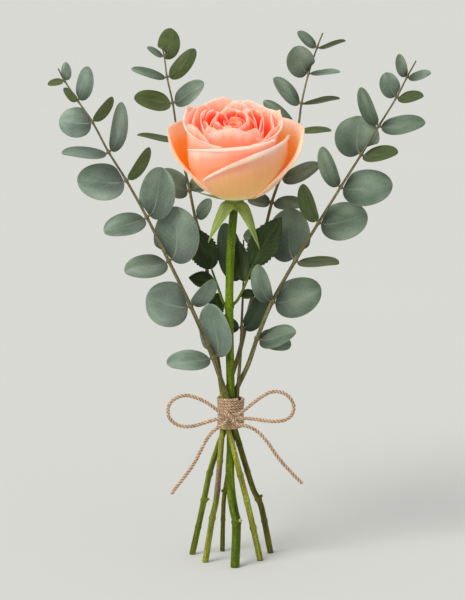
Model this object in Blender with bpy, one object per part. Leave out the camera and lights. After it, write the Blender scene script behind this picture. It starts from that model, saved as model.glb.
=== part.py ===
# Hand-tied posy: one garden rose, five eucalyptus sprigs and a jute bow.
# It stands on its six splayed, level-cut stem ends. Everything is in millimetres
# until mesh_object() turns it into metres. +Z is up, -Y is the front of the posy.
# The origin is the centre of the rose stem's cut end.
import math

import bmesh
import bpy
from mathutils import Matrix, Vector

# ---------------------------------------------------------------- driving sizes
MM = 0.001
GAP = 0.3                # clear space kept between pieces that touch in life
TIE_X = -3.0             # the tie point, where all six stems cross
TIE_Y = 22.0
TIE_Z = 106.0
TIE_HALF = 11.0          # half the height of the twine wrap
TWINE_D = 2.6            # twine diameter
TURN_D = 2.0             # twine diameter where it is pulled tight around the stems
ROSE_R = 2.9             # rose stem radius at the tie
EUC_R = 1.95             # eucalyptus stem radius at the tie
CENTRE_R = 1.5           # short centre sprig stem radius at the tie
TIP_R = 0.5              # eucalyptus stem radius at its tip
FOOT_GROW = 1.12         # stems are this much thicker at the cut end
SWAY = 2.6               # how far a stem drifts sideways from mid tie to its end
RING_R = ROSE_R + EUC_R + GAP
WRAP_IN = RING_R + EUC_R + 0.45
WRAP_FLARE = 0.7         # the wrap is this much wider inside at its two ends
LEAF_T = 0.6             # leaf thickness
PETAL_T = 0.5            # petal thickness
LAYER_STEP = 0.95        # rise from one petal's foot to the next
HEAD_TILT = 15.0         # the bloom leans this far forward, degrees
HEAD_AT = (-0.6, 19.8, 260.0)   # top of the rose hip, where the petals sit
BOWL = 34.5              # depth of the rounded lower part of the bloom
HIP_R = 6.6              # rose hip radius
HIP_H = 9.0              # rose hip height

for old in list(bpy.data.objects):
    bpy.data.objects.remove(old, do_unlink=True)

POSY = bpy.data.collections.new("hand_tied_posy")
bpy.context.scene.collection.children.link(POSY)


def material(name, colour, rough):
    mat = bpy.data.materials.new(name)
    mat.use_nodes = True
    bsdf = mat.node_tree.nodes["Principled BSDF"]
    bsdf.inputs["Base Color"].default_value = (*colour, 1.0)
    bsdf.inputs["Roughness"].default_value = rough
    mat.diffuse_color = (*colour, 1.0)
    return mat


ROSE_GREEN = material("rose_stem", (0.16, 0.30, 0.04), 0.45)
CALYX_GREEN = material("calyx", (0.30, 0.42, 0.10), 0.55)
PEACH = material("petal_outer", (1.0, 0.55, 0.34), 0.6)
CORAL = material("petal_inner", (1.0, 0.34, 0.18), 0.6)
ROSE_LEAF = material("rose_leaf", (0.05, 0.11, 0.03), 0.5)
EUC_LEAF = material("eucalyptus_leaf", (0.22, 0.34, 0.28), 0.6)
EUC_WOOD = material("eucalyptus_stem", (0.20, 0.17, 0.06), 0.6)
JUTE = material("jute_twine", (0.50, 0.34, 0.17), 0.9)


def mesh_object(name, bm, mat, smooth=True):
    """Turn a closed bmesh in millimetres into a node in metres."""
    bmesh.ops.remove_doubles(bm, verts=bm.verts, dist=0.002)
    bmesh.ops.triangulate(bm, faces=[f for f in bm.faces if len(f.verts) > 3])
    bmesh.ops.recalc_face_normals(bm, faces=bm.faces)
    bmesh.ops.scale(bm, vec=(MM, MM, MM), verts=bm.verts)
    mesh = bpy.data.meshes.new(name)
    bm.to_mesh(mesh)
    bm.free()
    mesh.materials.append(mat)
    for poly in mesh.polygons:
        poly.use_smooth = smooth
    obj = bpy.data.objects.new(name, mesh)
    POSY.objects.link(obj)
    return obj


# ---------------------------------------------------------------- stems
def hermite(points, z):
    """Point and slope of a stem at height z, smooth through its points."""
    last = len(points) - 2
    i = 0
    while i < last and z > points[i + 1][2]:
        i += 1
    a, b = Vector(points[i]), Vector(points[i + 1])
    before = Vector(points[i - 1]) if i > 0 else a - (b - a)
    after = Vector(points[i + 2]) if i + 2 < len(points) else b + (b - a)
    span = b.z - a.z
    ma = (b - before) * (span / (b.z - before.z))
    mb = (after - a) * (span / (after.z - a.z))
    t = (z - a.z) / span
    h = (2 * t**3 - 3 * t**2 + 1, t**3 - 2 * t**2 + t, -2 * t**3 + 3 * t**2, t**3 - t**2)
    g = (6 * t**2 - 6 * t, 3 * t**2 - 4 * t + 1, -6 * t**2 + 6 * t, 3 * t**2 - 2 * t)
    spot = a * h[0] + ma * h[1] + b * h[2] + mb * h[3]
    slope = a * g[0] + ma * g[1] + b * g[2] + mb * g[3]
    return Vector((spot.x, spot.y, z)), Vector((slope.x, slope.y, span)).normalized()


def tie_points(turn, centre_r, up=SWAY, down=SWAY):
    """Three points that carry a stem through the tie at angle `turn`."""
    a = math.radians(turn)
    r = ROSE_R + centre_r + GAP
    x, y = TIE_X + r * math.cos(a), TIE_Y + r * math.sin(a)
    tx, ty = math.sin(a), -math.cos(a)
    return [(x - tx * down, y - ty * down, TIE_Z - TIE_HALF), (x, y, TIE_Z),
            (x + tx * up, y + ty * up, TIE_Z + TIE_HALF)]


def ring(bm, centre, axis, radius, count, side=Vector((1, 0, 0))):
    u = (side - axis * side.dot(axis)).normalized()
    v = axis.cross(u)
    out = []
    for i in range(count):
        a = 2 * math.pi * i / count
        out.append(bm.verts.new(centre + (u * math.cos(a) + v * math.sin(a)) * radius))
    return out


def wall(bm, low, high):
    n = len(low)
    faces = []
    for i in range(n):
        j = (i + 1) % n
        faces.append(bm.faces.new((low[i], low[j], high[j], high[i])))
    return faces


def stem_radius(foot_r, tip_r, top_z, z):
    if z <= TIE_Z:
        return foot_r * (FOOT_GROW + (1 - FOOT_GROW) * z / TIE_Z)
    return foot_r + (tip_r - foot_r) * ((z - TIE_Z) / (top_z - TIE_Z)) ** 0.8


# Stem routes from cut end to tip. FL and FR lean to the front left and right,
# BL and BR to the back left and right, C is the short one behind the rose.
ROUTES = {
    "rose": [(0, 0, 0), (1.0, 6.5, 31), (-0.6, 8.8, 38), (-2.6, 12.2, 50), (-3.6, 16, 66),
             (-3, 18.8, 80), (-3, 21.4, 95), (-3, 22, 106), (-3, 22, 117), (-3.6, 22.4, 150),
             (-4, 22.2, 187), (-3, 21.6, 222), (-0.9, 20.8, 249.5)],
    "FL": [(25.5, 40, 0), (19.6, 36, 31), (17.4, 34.4, 39), (13.2, 31.4, 48), (7.4, 24.6, 68),
           (3.0, 19.8, 84)]
          + tie_points(275, EUC_R)
          + [(-8.8, 16, 128), (-15.5, 16, 147), (-31, 13, 184), (-46, 11, 216), (-61, 9, 247),
             (-75, 7, 273), (-87, 5, 293), (-98, 4, 314), (-108, 3, 329), (-117, 2, 343),
             (-121, 2, 351)],
    "FR": [(-30.5, 36, 0), (-22.4, 34, 38), (-18, 32, 60), (-11.4, 28.8, 82)]
          + tie_points(100, EUC_R)
          + [(3.6, 29.5, 127), (9.5, 28, 140), (15.5, 24, 159), (26, 18, 186), (42, 14, 216),
             (58, 12, 243), (73, 10, 268), (87, 8, 291), (99, 7, 311), (111, 6, 331),
             (118, 5, 345), (124, 5, 356)],
    "BL": [(18, 19, 0), (12.2, 17, 27), (7.4, 15.2, 48), (2.4, 13.6, 68), (-1.8, 13.7, 85)]
          + tie_points(225, EUC_R)
          + [(-11, 24.5, 135), (-16, 35, 170), (-19, 43, 197), (-22, 49, 221),
             (-28, 54, 240), (-32, 57, 259), (-40, 64, 294), (-44, 68, 320), (-48, 71, 338),
             (-50, 73, 353), (-51.6, 72.6, 359)],
    "BR": [(-21, 14, 0), (-16, 17, 31), (-13.2, 18.6, 44), (-10.8, 20.2, 70)]
          + tie_points(160, EUC_R)
          + [(-2.5, 31.5, 130), (3.5, 37, 148), (9, 42, 172), (15, 46, 197), (20, 50, 225),
             (26, 54, 251), (32, 57, 268), (44, 63, 301), (47, 66, 320), (52, 69, 341),
             (58, 72, 359), (62, 73, 369)],
    "C": [(-9, 45, 0), (-8.4, 40.5, 28), (-7.8, 38.4, 40), (-4.8, 33.2, 62), (-2.2, 29.2, 82)]
         + tie_points(40, CENTRE_R, 1.4)
         + [(2.6, 24.2, 130), (4, 29, 150), (5, 34.5, 175), (6, 39, 200), (6, 43, 226)],
}


# ---------------------------------------------------------------- blades
# Width of a blade along its length, as (station, share of full width).
EUC_SHAPE = ((0.12, 0.50), (0.29, 0.89), (0.50, 1.0), (0.71, 0.88), (0.89, 0.54), (1.0, 0.08))
ROSE_SHAPE = ((0.14, 0.55), (0.32, 0.96), (0.52, 1.0), (0.72, 0.72), (0.90, 0.30), (1.0, 0.05))
SEPAL_SHAPE = ((0.12, 1.0), (0.30, 0.86), (0.50, 0.60), (0.70, 0.36), (0.88, 0.18), (1.0, 0.08))
PEG_SHAPE = ((0.5, 1.0), (1.0, 0.9))


def bezier(a, b, c, d, t):
    s = 1 - t
    spot = a * s**3 + b * (3 * s * s * t) + c * (3 * s * t * t) + d * t**3
    head = (b - a) * (3 * s * s) + (c - b) * (6 * s * t) + (d - c) * (3 * t * t)
    return spot, head.normalized()


def grow(bm, loop, out, tip, width, facing, shape, thick=LEAF_T, cup=0.12, neck=1.7):
    """Grow one closed blade from a six-point hole in a body, to a tip."""
    start = sum((v.co for v in loop), Vector()) / 6
    length = (tip - start).length
    aim = (tip - start).normalized()
    b = start + out * (length * 0.25)
    c = tip - aim * (length * 0.35) + facing * (length * 0.06)
    stations = [(0.05, None)] if neck else []
    stations += list(shape)
    prev = list(loop)
    for t, share in stations:
        spot, head = bezier(start, b, c, tip, t)
        up = (facing - head * facing.dot(head)).normalized()
        side = up.cross(head)
        half = neck / 2 if share is None else max(width * share / 2, 0.25)
        th = 1.1 if share is None else (thick if share > 0.2 else thick * 0.7)
        lift = cup * half
        if share is None or shape is PEG_SHAPE:
            lift = 0.0
            th = max(th, min(half * 1.6, 2.6)) if shape is PEG_SHAPE else th
        pts = [-side * half + up * (lift - th * 0.35), up * (-th / 2), side * half + up * (lift - th * 0.35),
               side * half + up * (lift + th * 0.35), up * (th / 2), -side * half + up * (lift + th * 0.35)]
        best = None
        for k in range(6):
            cost = sum((prev[i].co - (spot + pts[(i + k) % 6])).length for i in range(6))
            if best is None or cost < best[0]:
                best = (cost, k)
        now = [bm.verts.new(spot + pts[(i + best[1]) % 6]) for i in range(6)]
        for i in range(6):
            j = (i + 1) % 6
            bm.faces.new((prev[i], prev[j], now[j], now[i]))
        prev = now
    bm.faces.new((prev[0], prev[1], prev[2], prev[3]))
    bm.faces.new((prev[0], prev[3], prev[4], prev[5]))


def patch(bm, low, high, col):
    """Open two neighbouring wall faces and give back the six-point hole."""
    n = len(low)
    p, q, r = (col - 1) % n, col % n, (col + 1) % n
    for i, j in ((p, q), (q, r)):
        want = {low[i], low[j], high[i], high[j]}
        for face in list(low[i].link_faces):
            if set(face.verts) == want:
                bm.faces.remove(face)
    bm.edges.remove(bm.edges.get((low[q], high[q])))
    return [low[p], low[q], low[r], high[r], high[q], high[p]]


def column(low, centre, axis, aim, taken, apart):
    """Pick the wall column that points most nearly along aim."""
    flat = (aim - axis * aim.dot(axis)).normalized()
    n = len(low)
    best = None
    for i in range(n):
        if any(min((i - t) % n, (t - i) % n) < apart for t in taken):
            continue
        out = (low[i].co - centre)
        out = (out - axis * out.dot(axis)).normalized()
        score = out.dot(flat)
        if best is None or score > best[0]:
            best = (score, i)
    return best[1]


def leaf_pair(bm, low, high, centre, axis, leaves, apart, shape=EUC_SHAPE):
    taken = []
    for dx, dy, dz, width, nx, ny, nz in leaves:
        aim = Vector((dx, dy, dz))
        col = column(low, centre, axis, aim, taken, apart)
        taken.append(col)
        out = (low[col].co - centre)
        out = (out - axis * out.dot(axis)).normalized()
        hole = patch(bm, low, high, col)
        grow(bm, hole, out, centre + aim, width, Vector((nx, ny, nz)).normalized(), shape)


# Leaf pairs: node height, then two leaves. Each leaf is its tip measured from the
# node (x, y, z), its width, and the direction its upper face looks.
FL_PAIRS = [
    (147, (-2, 6, 37, 23, -0.3, -1, 0.2), (-32, -9, -3, 21, 0, -0.55, 0.85)),
    (184, (-31, 5, 5, 32, -0.2, -0.95, 0.3), (16, -6, 20, 18, 0.6, -0.75, -0.3)),
    (216, (6, 7, 37, 32, -0.1, -1, 0.15), (-30, -12, -6, 22, 0, -0.65, 0.75)),
    (247, (10, 6, 34, 25, 0.1, -1, 0.1), (-29, -12, -9, 21, -0.2, -0.7, 0.7)),
    (273, (-34, 5, 0, 26, 0, -0.95, 0.3), (16, -7, 24, 11, 0.5, -0.8, -0.35)),
    (293, (9, 5, 34, 13, 0.5, -0.85, 0.1), (-32, -6, 0, 18, 0, -0.35, 0.94)),
    (314, (-23, 5, 0, 22, 0, -0.9, 0.4), (14, -6, 18, 10, 0.5, -0.8, -0.35)),
    (329, (7, 3, 23, 12, 0.3, -0.95, 0.1), (-9, -5, 9, 6, -0.4, 0.5, 0.7)),
    (343, (-11, -2, -3, 8, 0, -0.5, 0.85), (1, 3, 12, 7, 0.1, -1, 0)),
]
FR_PAIRS = [
    (159, (27, -10, 6, 19, -0.2, -0.65, 0.75), (24, 10, -6, 18, 0, -0.7, 0.7)),
    (186, (-10, -9, 28, 16, -0.5, -0.85, 0.1), (34, 6, 9, 27, 0.1, -0.95, 0.3)),
    (216, (-4, 11, 35, 30, -0.04, -1, 0.1), (30, -8, -1, 23, 0, -0.2, 1)),
    (243, (-11, -8, 28, 15, -0.6, -0.8, 0), (34, 6, 4, 27, 0.1, -0.9, 0.4)),
    (268, (-13, -7, 29, 15, -0.6, -0.8, 0), (36, 5, 1, 26, 0.1, -0.9, 0.4)),
    (291, (-2, 6, 26, 31, 0, -1, 0.2), (25, -6, 2, 19, 0, -0.45, 0.9)),
    (311, (-13, -5, 27, 12, -0.5, -0.85, 0), (32, 4, 2, 17, 0, -0.65, 0.76)),
    (331, (-8, 5, 16, 14, 0, -1, 0.2), (18, -5, 1, 14, 0, -0.5, 0.87)),
    (345, (-6, -4, 16, 8, -0.3, -0.95, 0), (16, -3, 3, 9, 0, -0.6, 0.8)),
]
BL_PAIRS = [
    (240, (-20, -4, 4, 13, 0, -0.5, 0.86), (11, -5, 14, 10, -0.4, -0.9, 0.1)),
    (259, (-21, -6, 14, 18, 0.1, -0.9, 0.4), (14, 12, 9, 14, 0.2, -0.5, 0.85)),
    (294, (-29, -4, 4, 10, 0, -0.35, 0.94), (16, 12, 9, 14, 0.1, -0.4, 0.9)),
    (320, (-27, -6, 4, 17, 0, -0.75, 0.66), (22, -5, 15, 15, -0.4, -0.85, 0.4)),
    (338, (20, 5, 19, 12, 0.3, 0.8, 0.2), (-25, -5, 6, 11, 0, -0.5, 0.86)),
    (353, (5, 12, 18, 16, 0, 0.9, 0.45), (-12, -4, 6, 6, 0, -0.7, 0.7)),
]
BR_PAIRS = [
    (225, (-14, -3, 3, 14, 0, -0.8, 0.6), (14, 10, 6, 12, 0.1, -0.4, 0.9)),
    (251, (-17, -4, 2, 13, 0, -0.7, 0.7), (23, -5, -1, 16, 0, -0.5, 0.86)),
    (268, (28, -4, 10, 13, -0.2, -0.8, 0.5), (-13, 8, 12, 12, 0.3, -0.5, 0.8)),
    (301, (-24, -3, 21, 15, 0.5, -0.7, 0.6), (24, -2, 0, 12, 0, -0.3, 0.95)),
    (320, (-20, -5, 18, 14, 0.5, -0.75, 0.5), (27, 2, 3, 14, 0, 0.4, 0.9)),
    (341, (-10, -5, 19, 20, 0, -1, 0.1), (22, -3, 1, 10, 0, -0.3, 0.95)),
    (359, (-14, -3, 11, 9, 0.2, -0.8, 0.6), (20, 3, 4, 11, 0, 0.4, 0.9)),
]
C_PAIRS = [
    (165, (19, -2, 30, 15, 0.3, -0.9, 0.1), (-26, -4, 9, 12, 0, -0.95, 0.3)),
    (200, (9, 1, 24, 11, 0.2, -0.95, 0.1), (-14, 2, 38, 18, 0.1, -0.95, 0.1)),
]
SPRIGS = (
    ("front_left", "FL", EUC_R, FL_PAIRS, 7, ((42, (4.0, -0.6, 1.4)),)),
    ("front_right", "FR", EUC_R, FR_PAIRS, 7, ((40, (3.7, -0.6, 0.6)),)),
    ("back_left", "BL", EUC_R, BL_PAIRS, 4, ()),
    ("back_right", "BR", EUC_R, BR_PAIRS, 5, ()),
    ("centre", "C", CENTRE_R, C_PAIRS, 2, ((45, (-3.2, -1.2, 1.2)),)),
)


def stem(name, route, base_r, tip_r, sides, mat, heights, pairs=(), pegs=()):
    """One stem with a level cut end; small tip leaves and stubs grow on it."""
    points = ROUTES[route]
    top = points[-1][2]
    marks = {}
    for z, *leaves in pairs:
        marks[z] = leaves
    for z, aim in pegs:
        marks[z] = aim
    levels = sorted([z for z in heights if all(abs(z - m) > 2.5 for m in marks)]
                    + [m - 0.9 for m in marks] + [m + 0.9 for m in marks])
    bm = bmesh.new()
    rows = []
    for z in levels:
        spot, axis = hermite(points, z)
        if z == 0:
            axis = Vector((0, 0, 1))
        rows.append(ring(bm, spot, axis, stem_radius(base_r, tip_r, top, z), sides))
    for low, high in zip(rows, rows[1:]):
        wall(bm, low, high)
    bm.faces.new(rows[0])
    bm.faces.new(rows[-1])
    for z, what in marks.items():
        i = levels.index(z - 0.9)
        spot, axis = hermite(points, z)
        if isinstance(what, list):
            leaf_pair(bm, rows[i], rows[i + 1], spot, axis, what, sides // 3)
        else:
            aim = Vector(what)
            col = column(rows[i], spot, axis, aim, [], 0)
            hole = patch(bm, rows[i], rows[i + 1], col)
            grow(bm, hole, aim.normalized(), spot + aim, 1.9, Vector((0, 0, 1)), PEG_SHAPE,
                 neck=0)
    mesh_object(name, bm, mat)


def spread(points, step):
    """Ring heights: the ends, every route point and a few between."""
    out = [points[0][2]]
    for a, b in zip(points, points[1:]):
        n = max(1, round((b[2] - a[2]) / step))
        for i in range(1, n + 1):
            out.append(a[2] + (b[2] - a[2]) * i / n)
    return out


def collar_pair(name, route, base_r, z, leaves):
    """A leaf pair: two blades on a small collar around the stem."""
    points = ROUTES[route]
    spot, axis = hermite(points, z)
    inner = stem_radius(base_r, TIP_R, points[-1][2], z - 2) + GAP + 0.05
    outer = inner + 0.7
    bm = bmesh.new()
    rows = [ring(bm, spot + axis * h, axis, r, 12) for h, r in
            ((-0.9, inner), (-0.9, outer), (0.9, outer), (0.9, inner))]
    for i in range(4):
        wall(bm, rows[i], rows[(i + 1) % 4])
    leaf_pair(bm, rows[1], rows[2], spot, axis, leaves, 3)
    mesh_object(name, bm, EUC_LEAF)


def build_sprigs():
    for label, route, base_r, pairs, loose, pegs in SPRIGS:
        points = ROUTES[route]
        stem("eucalyptus_stem_" + label, route, base_r, TIP_R, 8, EUC_WOOD,
             spread(points, 24), pairs[loose:], pegs)
        for i, (z, *leaves) in enumerate(pairs[:loose]):
            collar_pair("leaf_pair_%s_%d" % (label, i + 1), route, base_r, z, leaves)


# ---------------------------------------------------------------- rose
def head(r, a, h):
    """A point of the bloom from radius, angle and height above the hip."""
    tilt = math.radians(HEAD_TILT)
    x, y = r * math.cos(a), r * math.sin(a)
    return Vector((HEAD_AT[0] + x,
                   HEAD_AT[1] + y * math.cos(tilt) - h * math.sin(tilt),
                   HEAD_AT[2] + y * math.sin(tilt) + h * math.cos(tilt)))


# Petals from the outside in: name, centre angle (270 is the front), half width in
# degrees, radius, height, flare at the rim, how far the whole petal opens, how far
# the rim drops at its near and far ends, how sharply it does so, and where across
# the petal its rim is highest, from -1 at the near end to 1 at the far end.
PETALS = (
    ("guard_right", 356, 60, 39.2, 49.5, 1.0, 8.5, 44, 5, 1.0, 0.05),
    ("front_low", 296, 66, 37.2, 48.0, 0.8, 0.0, 26.6, 5, 3.0, 0.8),
    ("guard_left", 181, 60, 35.6, 48.5, 1.0, 9.5, 4, 42, 1.0, -0.05),
    ("front_high", 262, 62, 34.0, 51.5, 1.0, 0.0, 11.5, 0, 2.6, 1.0),
    ("left_tall", 184, 72, 32.4, 60.5, 4.0, 0.0, 5, 10, 0.6, -0.4),
    ("right_tall", 6, 74, 30.8, 58.5, 3.6, 0.0, 7.5, 5, 0.7, 0.2),
    ("back_left", 112, 62, 29.2, 61.5, 2.4, 0.0, 12, 12, 1.6, 0.0),
    ("back_right", 62, 60, 27.4, 60.5, 1.8, 0.0, 10, 12, 1.6, 0.0),
    ("inner_front", 264, 62, 25.4, 60.0, -1.0, 0.0, 15, 15, 2.0, 0.0),
    ("inner_left", 170, 66, 23.0, 60.0, 0.6, 0.0, 8, 12, 1.5, -0.2),
    ("inner_right", 28, 66, 20.4, 59.5, 0.2, 0.0, 12, 8, 1.5, 0.2),
    ("inner_back", 100, 68, 17.6, 59.0, -0.4, 0.0, 9, 9, 1.5, 0.0),
    ("heart_left", 215, 76, 14.4, 58.0, -0.8, 0.0, 8, 8, 1.5, 0.0),
    ("heart_right", 335, 80, 11.2, 58.0, -1.0, 0.0, 7, 7, 1.5, 0.0),
)


def petal_point(k, u, v, spec):
    """A point of petal k: u runs across it from -1 to 1, v from foot to rim."""
    _, az, half, radius, height, flare, opening, near, far, power, crest = spec
    foot = 0.7 + LAYER_STEP * k
    if u <= crest:
        drop = near * ((crest - u) / (1 + crest)) ** power
    else:
        drop = far * ((u - crest) / (1 - crest)) ** power
    bowl = math.pi / 2 * math.sqrt((radius ** 2 + BOWL ** 2) / 2)
    full = bowl + height - BOWL
    run = max(v * full - drop * max(0.0, (v - 0.25) / 0.75), 0.0)
    wide = 0.45 + 0.55 * math.sin(min(run / (0.9 * bowl), 1.0) * math.pi / 2)
    a = math.radians(az + half * wide * u)
    if run < bowl:
        q = run / bowl * math.pi / 2
        r = 2.7 + (radius - 2.7) * math.sin(q)
        h = foot + (BOWL - foot) * (1 - math.cos(q))
    else:
        q = (run - bowl) / (height - BOWL)
        r = radius + flare * q * q
        h = BOWL + run - bowl
    open_up = min(max((run / full - 0.5) / 0.45, 0.0), 1.0)
    r += opening * open_up ** 2 * (3 - 2 * open_up)
    return head(r, a, h)


def petal(k, spec, across=8, along=7):
    grid = [[petal_point(k, -1 + 2 * i / across, j / along, spec)
             for i in range(across + 1)] for j in range(along + 1)]
    bm = bmesh.new()
    sheets = []
    for sign in (1, -1):
        rows = []
        for j in range(along + 1):
            row = []
            for i in range(across + 1):
                du = grid[j][min(i + 1, across)] - grid[j][max(i - 1, 0)]
                dv = grid[min(j + 1, along)][i] - grid[max(j - 1, 0)][i]
                n = du.cross(dv).normalized()
                row.append(bm.verts.new(grid[j][i] + n * (sign * PETAL_T / 2)))
            rows.append(row)
        sheets.append(rows)
    top, low = sheets
    for j in range(along):
        for i in range(across):
            bm.faces.new((top[j][i], top[j][i + 1], top[j + 1][i + 1], top[j + 1][i]))
            bm.faces.new((low[j][i], low[j + 1][i], low[j + 1][i + 1], low[j][i + 1]))
    rim = [(0, i) for i in range(across)] + [(j, across) for j in range(along)]
    rim += [(along, i) for i in range(across, 0, -1)] + [(j, 0) for j in range(along, 0, -1)]
    for n, (j, i) in enumerate(rim):
        jj, ii = rim[(n + 1) % len(rim)]
        bm.faces.new((top[j][i], low[j][i], low[jj][ii], top[jj][ii]))
    mesh_object("petal_" + spec[0], bm, PEACH if k < 9 else CORAL)


def turned(name, profile, sides, mat, smooth=True):
    """A closed solid turned about the bloom's axis from (radius, height) pairs."""
    bm = bmesh.new()
    rows = []
    for r, h in profile:
        rows.append([bm.verts.new(head(r, 2 * math.pi * i / sides, h)) for i in range(sides)])
    for a, b in zip(rows, rows[1:]):
        wall(bm, a, b)
    bm.faces.new(rows[0])
    bm.faces.new(rows[-1])
    return mesh_object(name, bm, mat, smooth)


# Sepals: start angle, tip measured from the hip's top (x, y, z), width.
SEPALS = (
    (236, (-18, -8.5, -31), 12.0),
    (308, (17.5, -13, -35), 12.0),
    (354, (20.5, -5, 2.0), 9.0),
    (92, (3, 22, 2), 8.0),
    (184, (-26.5, -1.5, 4.0), 11.0),
)


def sepal(index, turn, tip, width):
    a = math.radians(turn)
    out = head(1, a, 0) - head(0, a, 0)
    side = Vector((-math.sin(a), math.cos(a), 0))
    up = out.cross(side).normalized()
    side = up.cross(out)
    base = head(HIP_R + 0.3 + GAP, a, -2.4)
    bm = bmesh.new()
    loop = []
    for s, h in ((-2.2, -0.4), (0, -0.4), (2.2, -0.4), (2.2, 0.4), (0, 0.4), (-2.2, 0.4)):
        loop.append(bm.verts.new(base + side * s + up * h))
    bm.faces.new((loop[3], loop[2], loop[1], loop[0]))
    bm.faces.new((loop[5], loop[4], loop[3], loop[0]))
    aim = Vector(tip) - (base - Vector(HEAD_AT))
    facing = (aim.normalized().cross(side)).normalized()
    if facing.dot(out) < 0:
        facing = -facing
    grow(bm, loop, out, Vector(HEAD_AT) + Vector(tip), width, facing, SEPAL_SHAPE,
         thick=0.6, cup=-0.1, neck=0)
    mesh_object("sepal_%d" % index, bm, CALYX_GREEN)


# Rose leaves: petiole route, then leaflets as (petiole point, tip, width, facing).
ROSE_LEAVES = (
    ("left", ((-8.3, 22.2, 185), (-10.5, 25.2, 191), (-13.5, 29.0, 199), (-16.0, 31.0, 206)),
     (-29, 28, 237), 21, (-0.1, -1.0, 0.3),
     ((1, (-4, 1, -22, 12, 0.2, -0.95, 0.1)), (2, (-19, 1, 2, 14, 0.1, -0.8, 0.6)))),
    ("right", ((0.4, 22.2, 185), (3.6, 21.6, 190), (8.0, 20.4, 200), (11.6, 18.6, 210)),
     (32, 10, 247), 22, (-0.15, -0.95, 0.2),
     ((1, (12, 5, 1, 9, 0.0, -0.7, 0.7)), (2, (-6, 16, 27, 13, 0.1, -0.95, 0.1)))),
)


def rose_leaf(label, route, tip, width, facing, sides):
    """A petiole with a leaflet at its end and two smaller ones on its sides."""
    bm = bmesh.new()
    pts = [Vector(p) for p in route]
    marks = {}
    for i, leaf in sides:
        marks[i] = leaf
    rows, spots = [], []
    for i, p in enumerate(pts):
        ahead = pts[min(i + 1, len(pts) - 1)] - pts[max(i - 1, 0)]
        axis = ahead.normalized()
        for s in ((-0.8, 0.8) if i in marks else (0,)):
            rows.append(ring(bm, p + axis * s, axis, 0.85, 6))
            spots.append((i, p, axis))
    bm.faces.new(rows[0])
    for low, high in zip(rows, rows[1:]):
        wall(bm, low, high)
    for n in range(len(rows) - 1):
        i, p, axis = spots[n]
        if i in marks and spots[n + 1][0] == i:
            leaf_pair(bm, rows[n], rows[n + 1], p, axis, [marks[i]], 2, ROSE_SHAPE)
    axis = spots[-1][2]
    grow(bm, rows[-1], axis, Vector(tip), width, Vector(facing).normalized(), ROSE_SHAPE)
    mesh_object("rose_leaf_" + label, bm, ROSE_LEAF)


def build_rose():
    points = ROUTES["rose"]
    stem("rose_stem", "rose", ROSE_R, ROSE_R, 14, ROSE_GREEN, spread(points, 16), (),
         ((33, (4.6, -2.8, 2.0)),))
    turned("rose_hip", ((ROSE_R - 0.1, -HIP_H), (HIP_R * 0.7, -HIP_H + 1.5),
                        (HIP_R * 0.95, -HIP_H + 4), (HIP_R, -HIP_H / 2 + 1), (HIP_R * 0.93, -1.2),
                        (HIP_R * 0.8, 0)), 16, CALYX_GREEN)
    for i, (turn, tip, width) in enumerate(SEPALS):
        sepal(i + 1, turn, tip, width)
    for k, spec in enumerate(PETALS):
        petal(k, spec)
    turned("petal_heart", ((1.6, GAP), (1.8, 8), (2.0, 14), (4.6, 26), (7.4, 39), (7.6, 48),
                           (6.0, 55), (3.2, 57.6), (1.2, 58.2)), 14, CORAL)
    for label, route, tip, width, facing, sides in ROSE_LEAVES:
        rose_leaf(label, route, tip, width, facing, sides)


# ---------------------------------------------------------------- twine
def build_wrap():
    """The twine's turns around the tie, as one turned sleeve."""
    turns = round(2 * TIE_HALF / TURN_D)
    pitch = 2 * TIE_HALF / turns
    inner, outer = [], []
    for i in range(turns):
        z = -TIE_HALF + pitch * (i + 0.5)
        swell = WRAP_FLARE * (abs(z) / TIE_HALF) ** 2
        if i == 0:
            outer.append((WRAP_IN + swell + 0.7, z - pitch / 2))
        outer.append((WRAP_IN + swell + TURN_D, z))
        valley = WRAP_FLARE * (min(abs(z + pitch / 2) / TIE_HALF, 1)) ** 2
        outer.append((WRAP_IN + valley + TURN_D * 0.72, z + pitch / 2))
    for z in (TIE_HALF, TIE_HALF / 2, 0, -TIE_HALF / 2, -TIE_HALF):
        inner.append((WRAP_IN + WRAP_FLARE * (abs(z) / TIE_HALF) ** 2, z))
    profile = outer + inner
    bm = bmesh.new()
    rows = []
    sides = 24
    for r, z in profile:
        rows.append([bm.verts.new((TIE_X + r * math.cos(2 * math.pi * i / sides),
                                   TIE_Y + r * math.sin(2 * math.pi * i / sides), TIE_Z + z))
                     for i in range(sides)])
    for i in range(len(rows)):
        wall(bm, rows[i], rows[(i + 1) % len(rows)])
    mesh_object("twine_wrap", bm, JUTE)


KNOT_HALF = (5.4, 3.1, 4.6)
KNOT_AT = (TIE_X, TIE_Y - WRAP_IN - TURN_D - GAP - KNOT_HALF[1] - 0.2, TIE_Z)


def build_knot():
    """The bow's knot, a rounded lump with a waist between its two bands."""
    bm = bmesh.new()
    bmesh.ops.create_uvsphere(bm, u_segments=16, v_segments=10, radius=1.0)
    for v in bm.verts:
        pinch = 1 - 0.14 * math.exp(-(v.co.z / 0.28) ** 2)
        v.co = Vector((KNOT_AT[0] + v.co.x * KNOT_HALF[0] * pinch,
                       KNOT_AT[1] + v.co.y * KNOT_HALF[1] * pinch,
                       KNOT_AT[2] + v.co.z * KNOT_HALF[2]))
    mesh_object("bow_knot", bm, JUTE)


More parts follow.
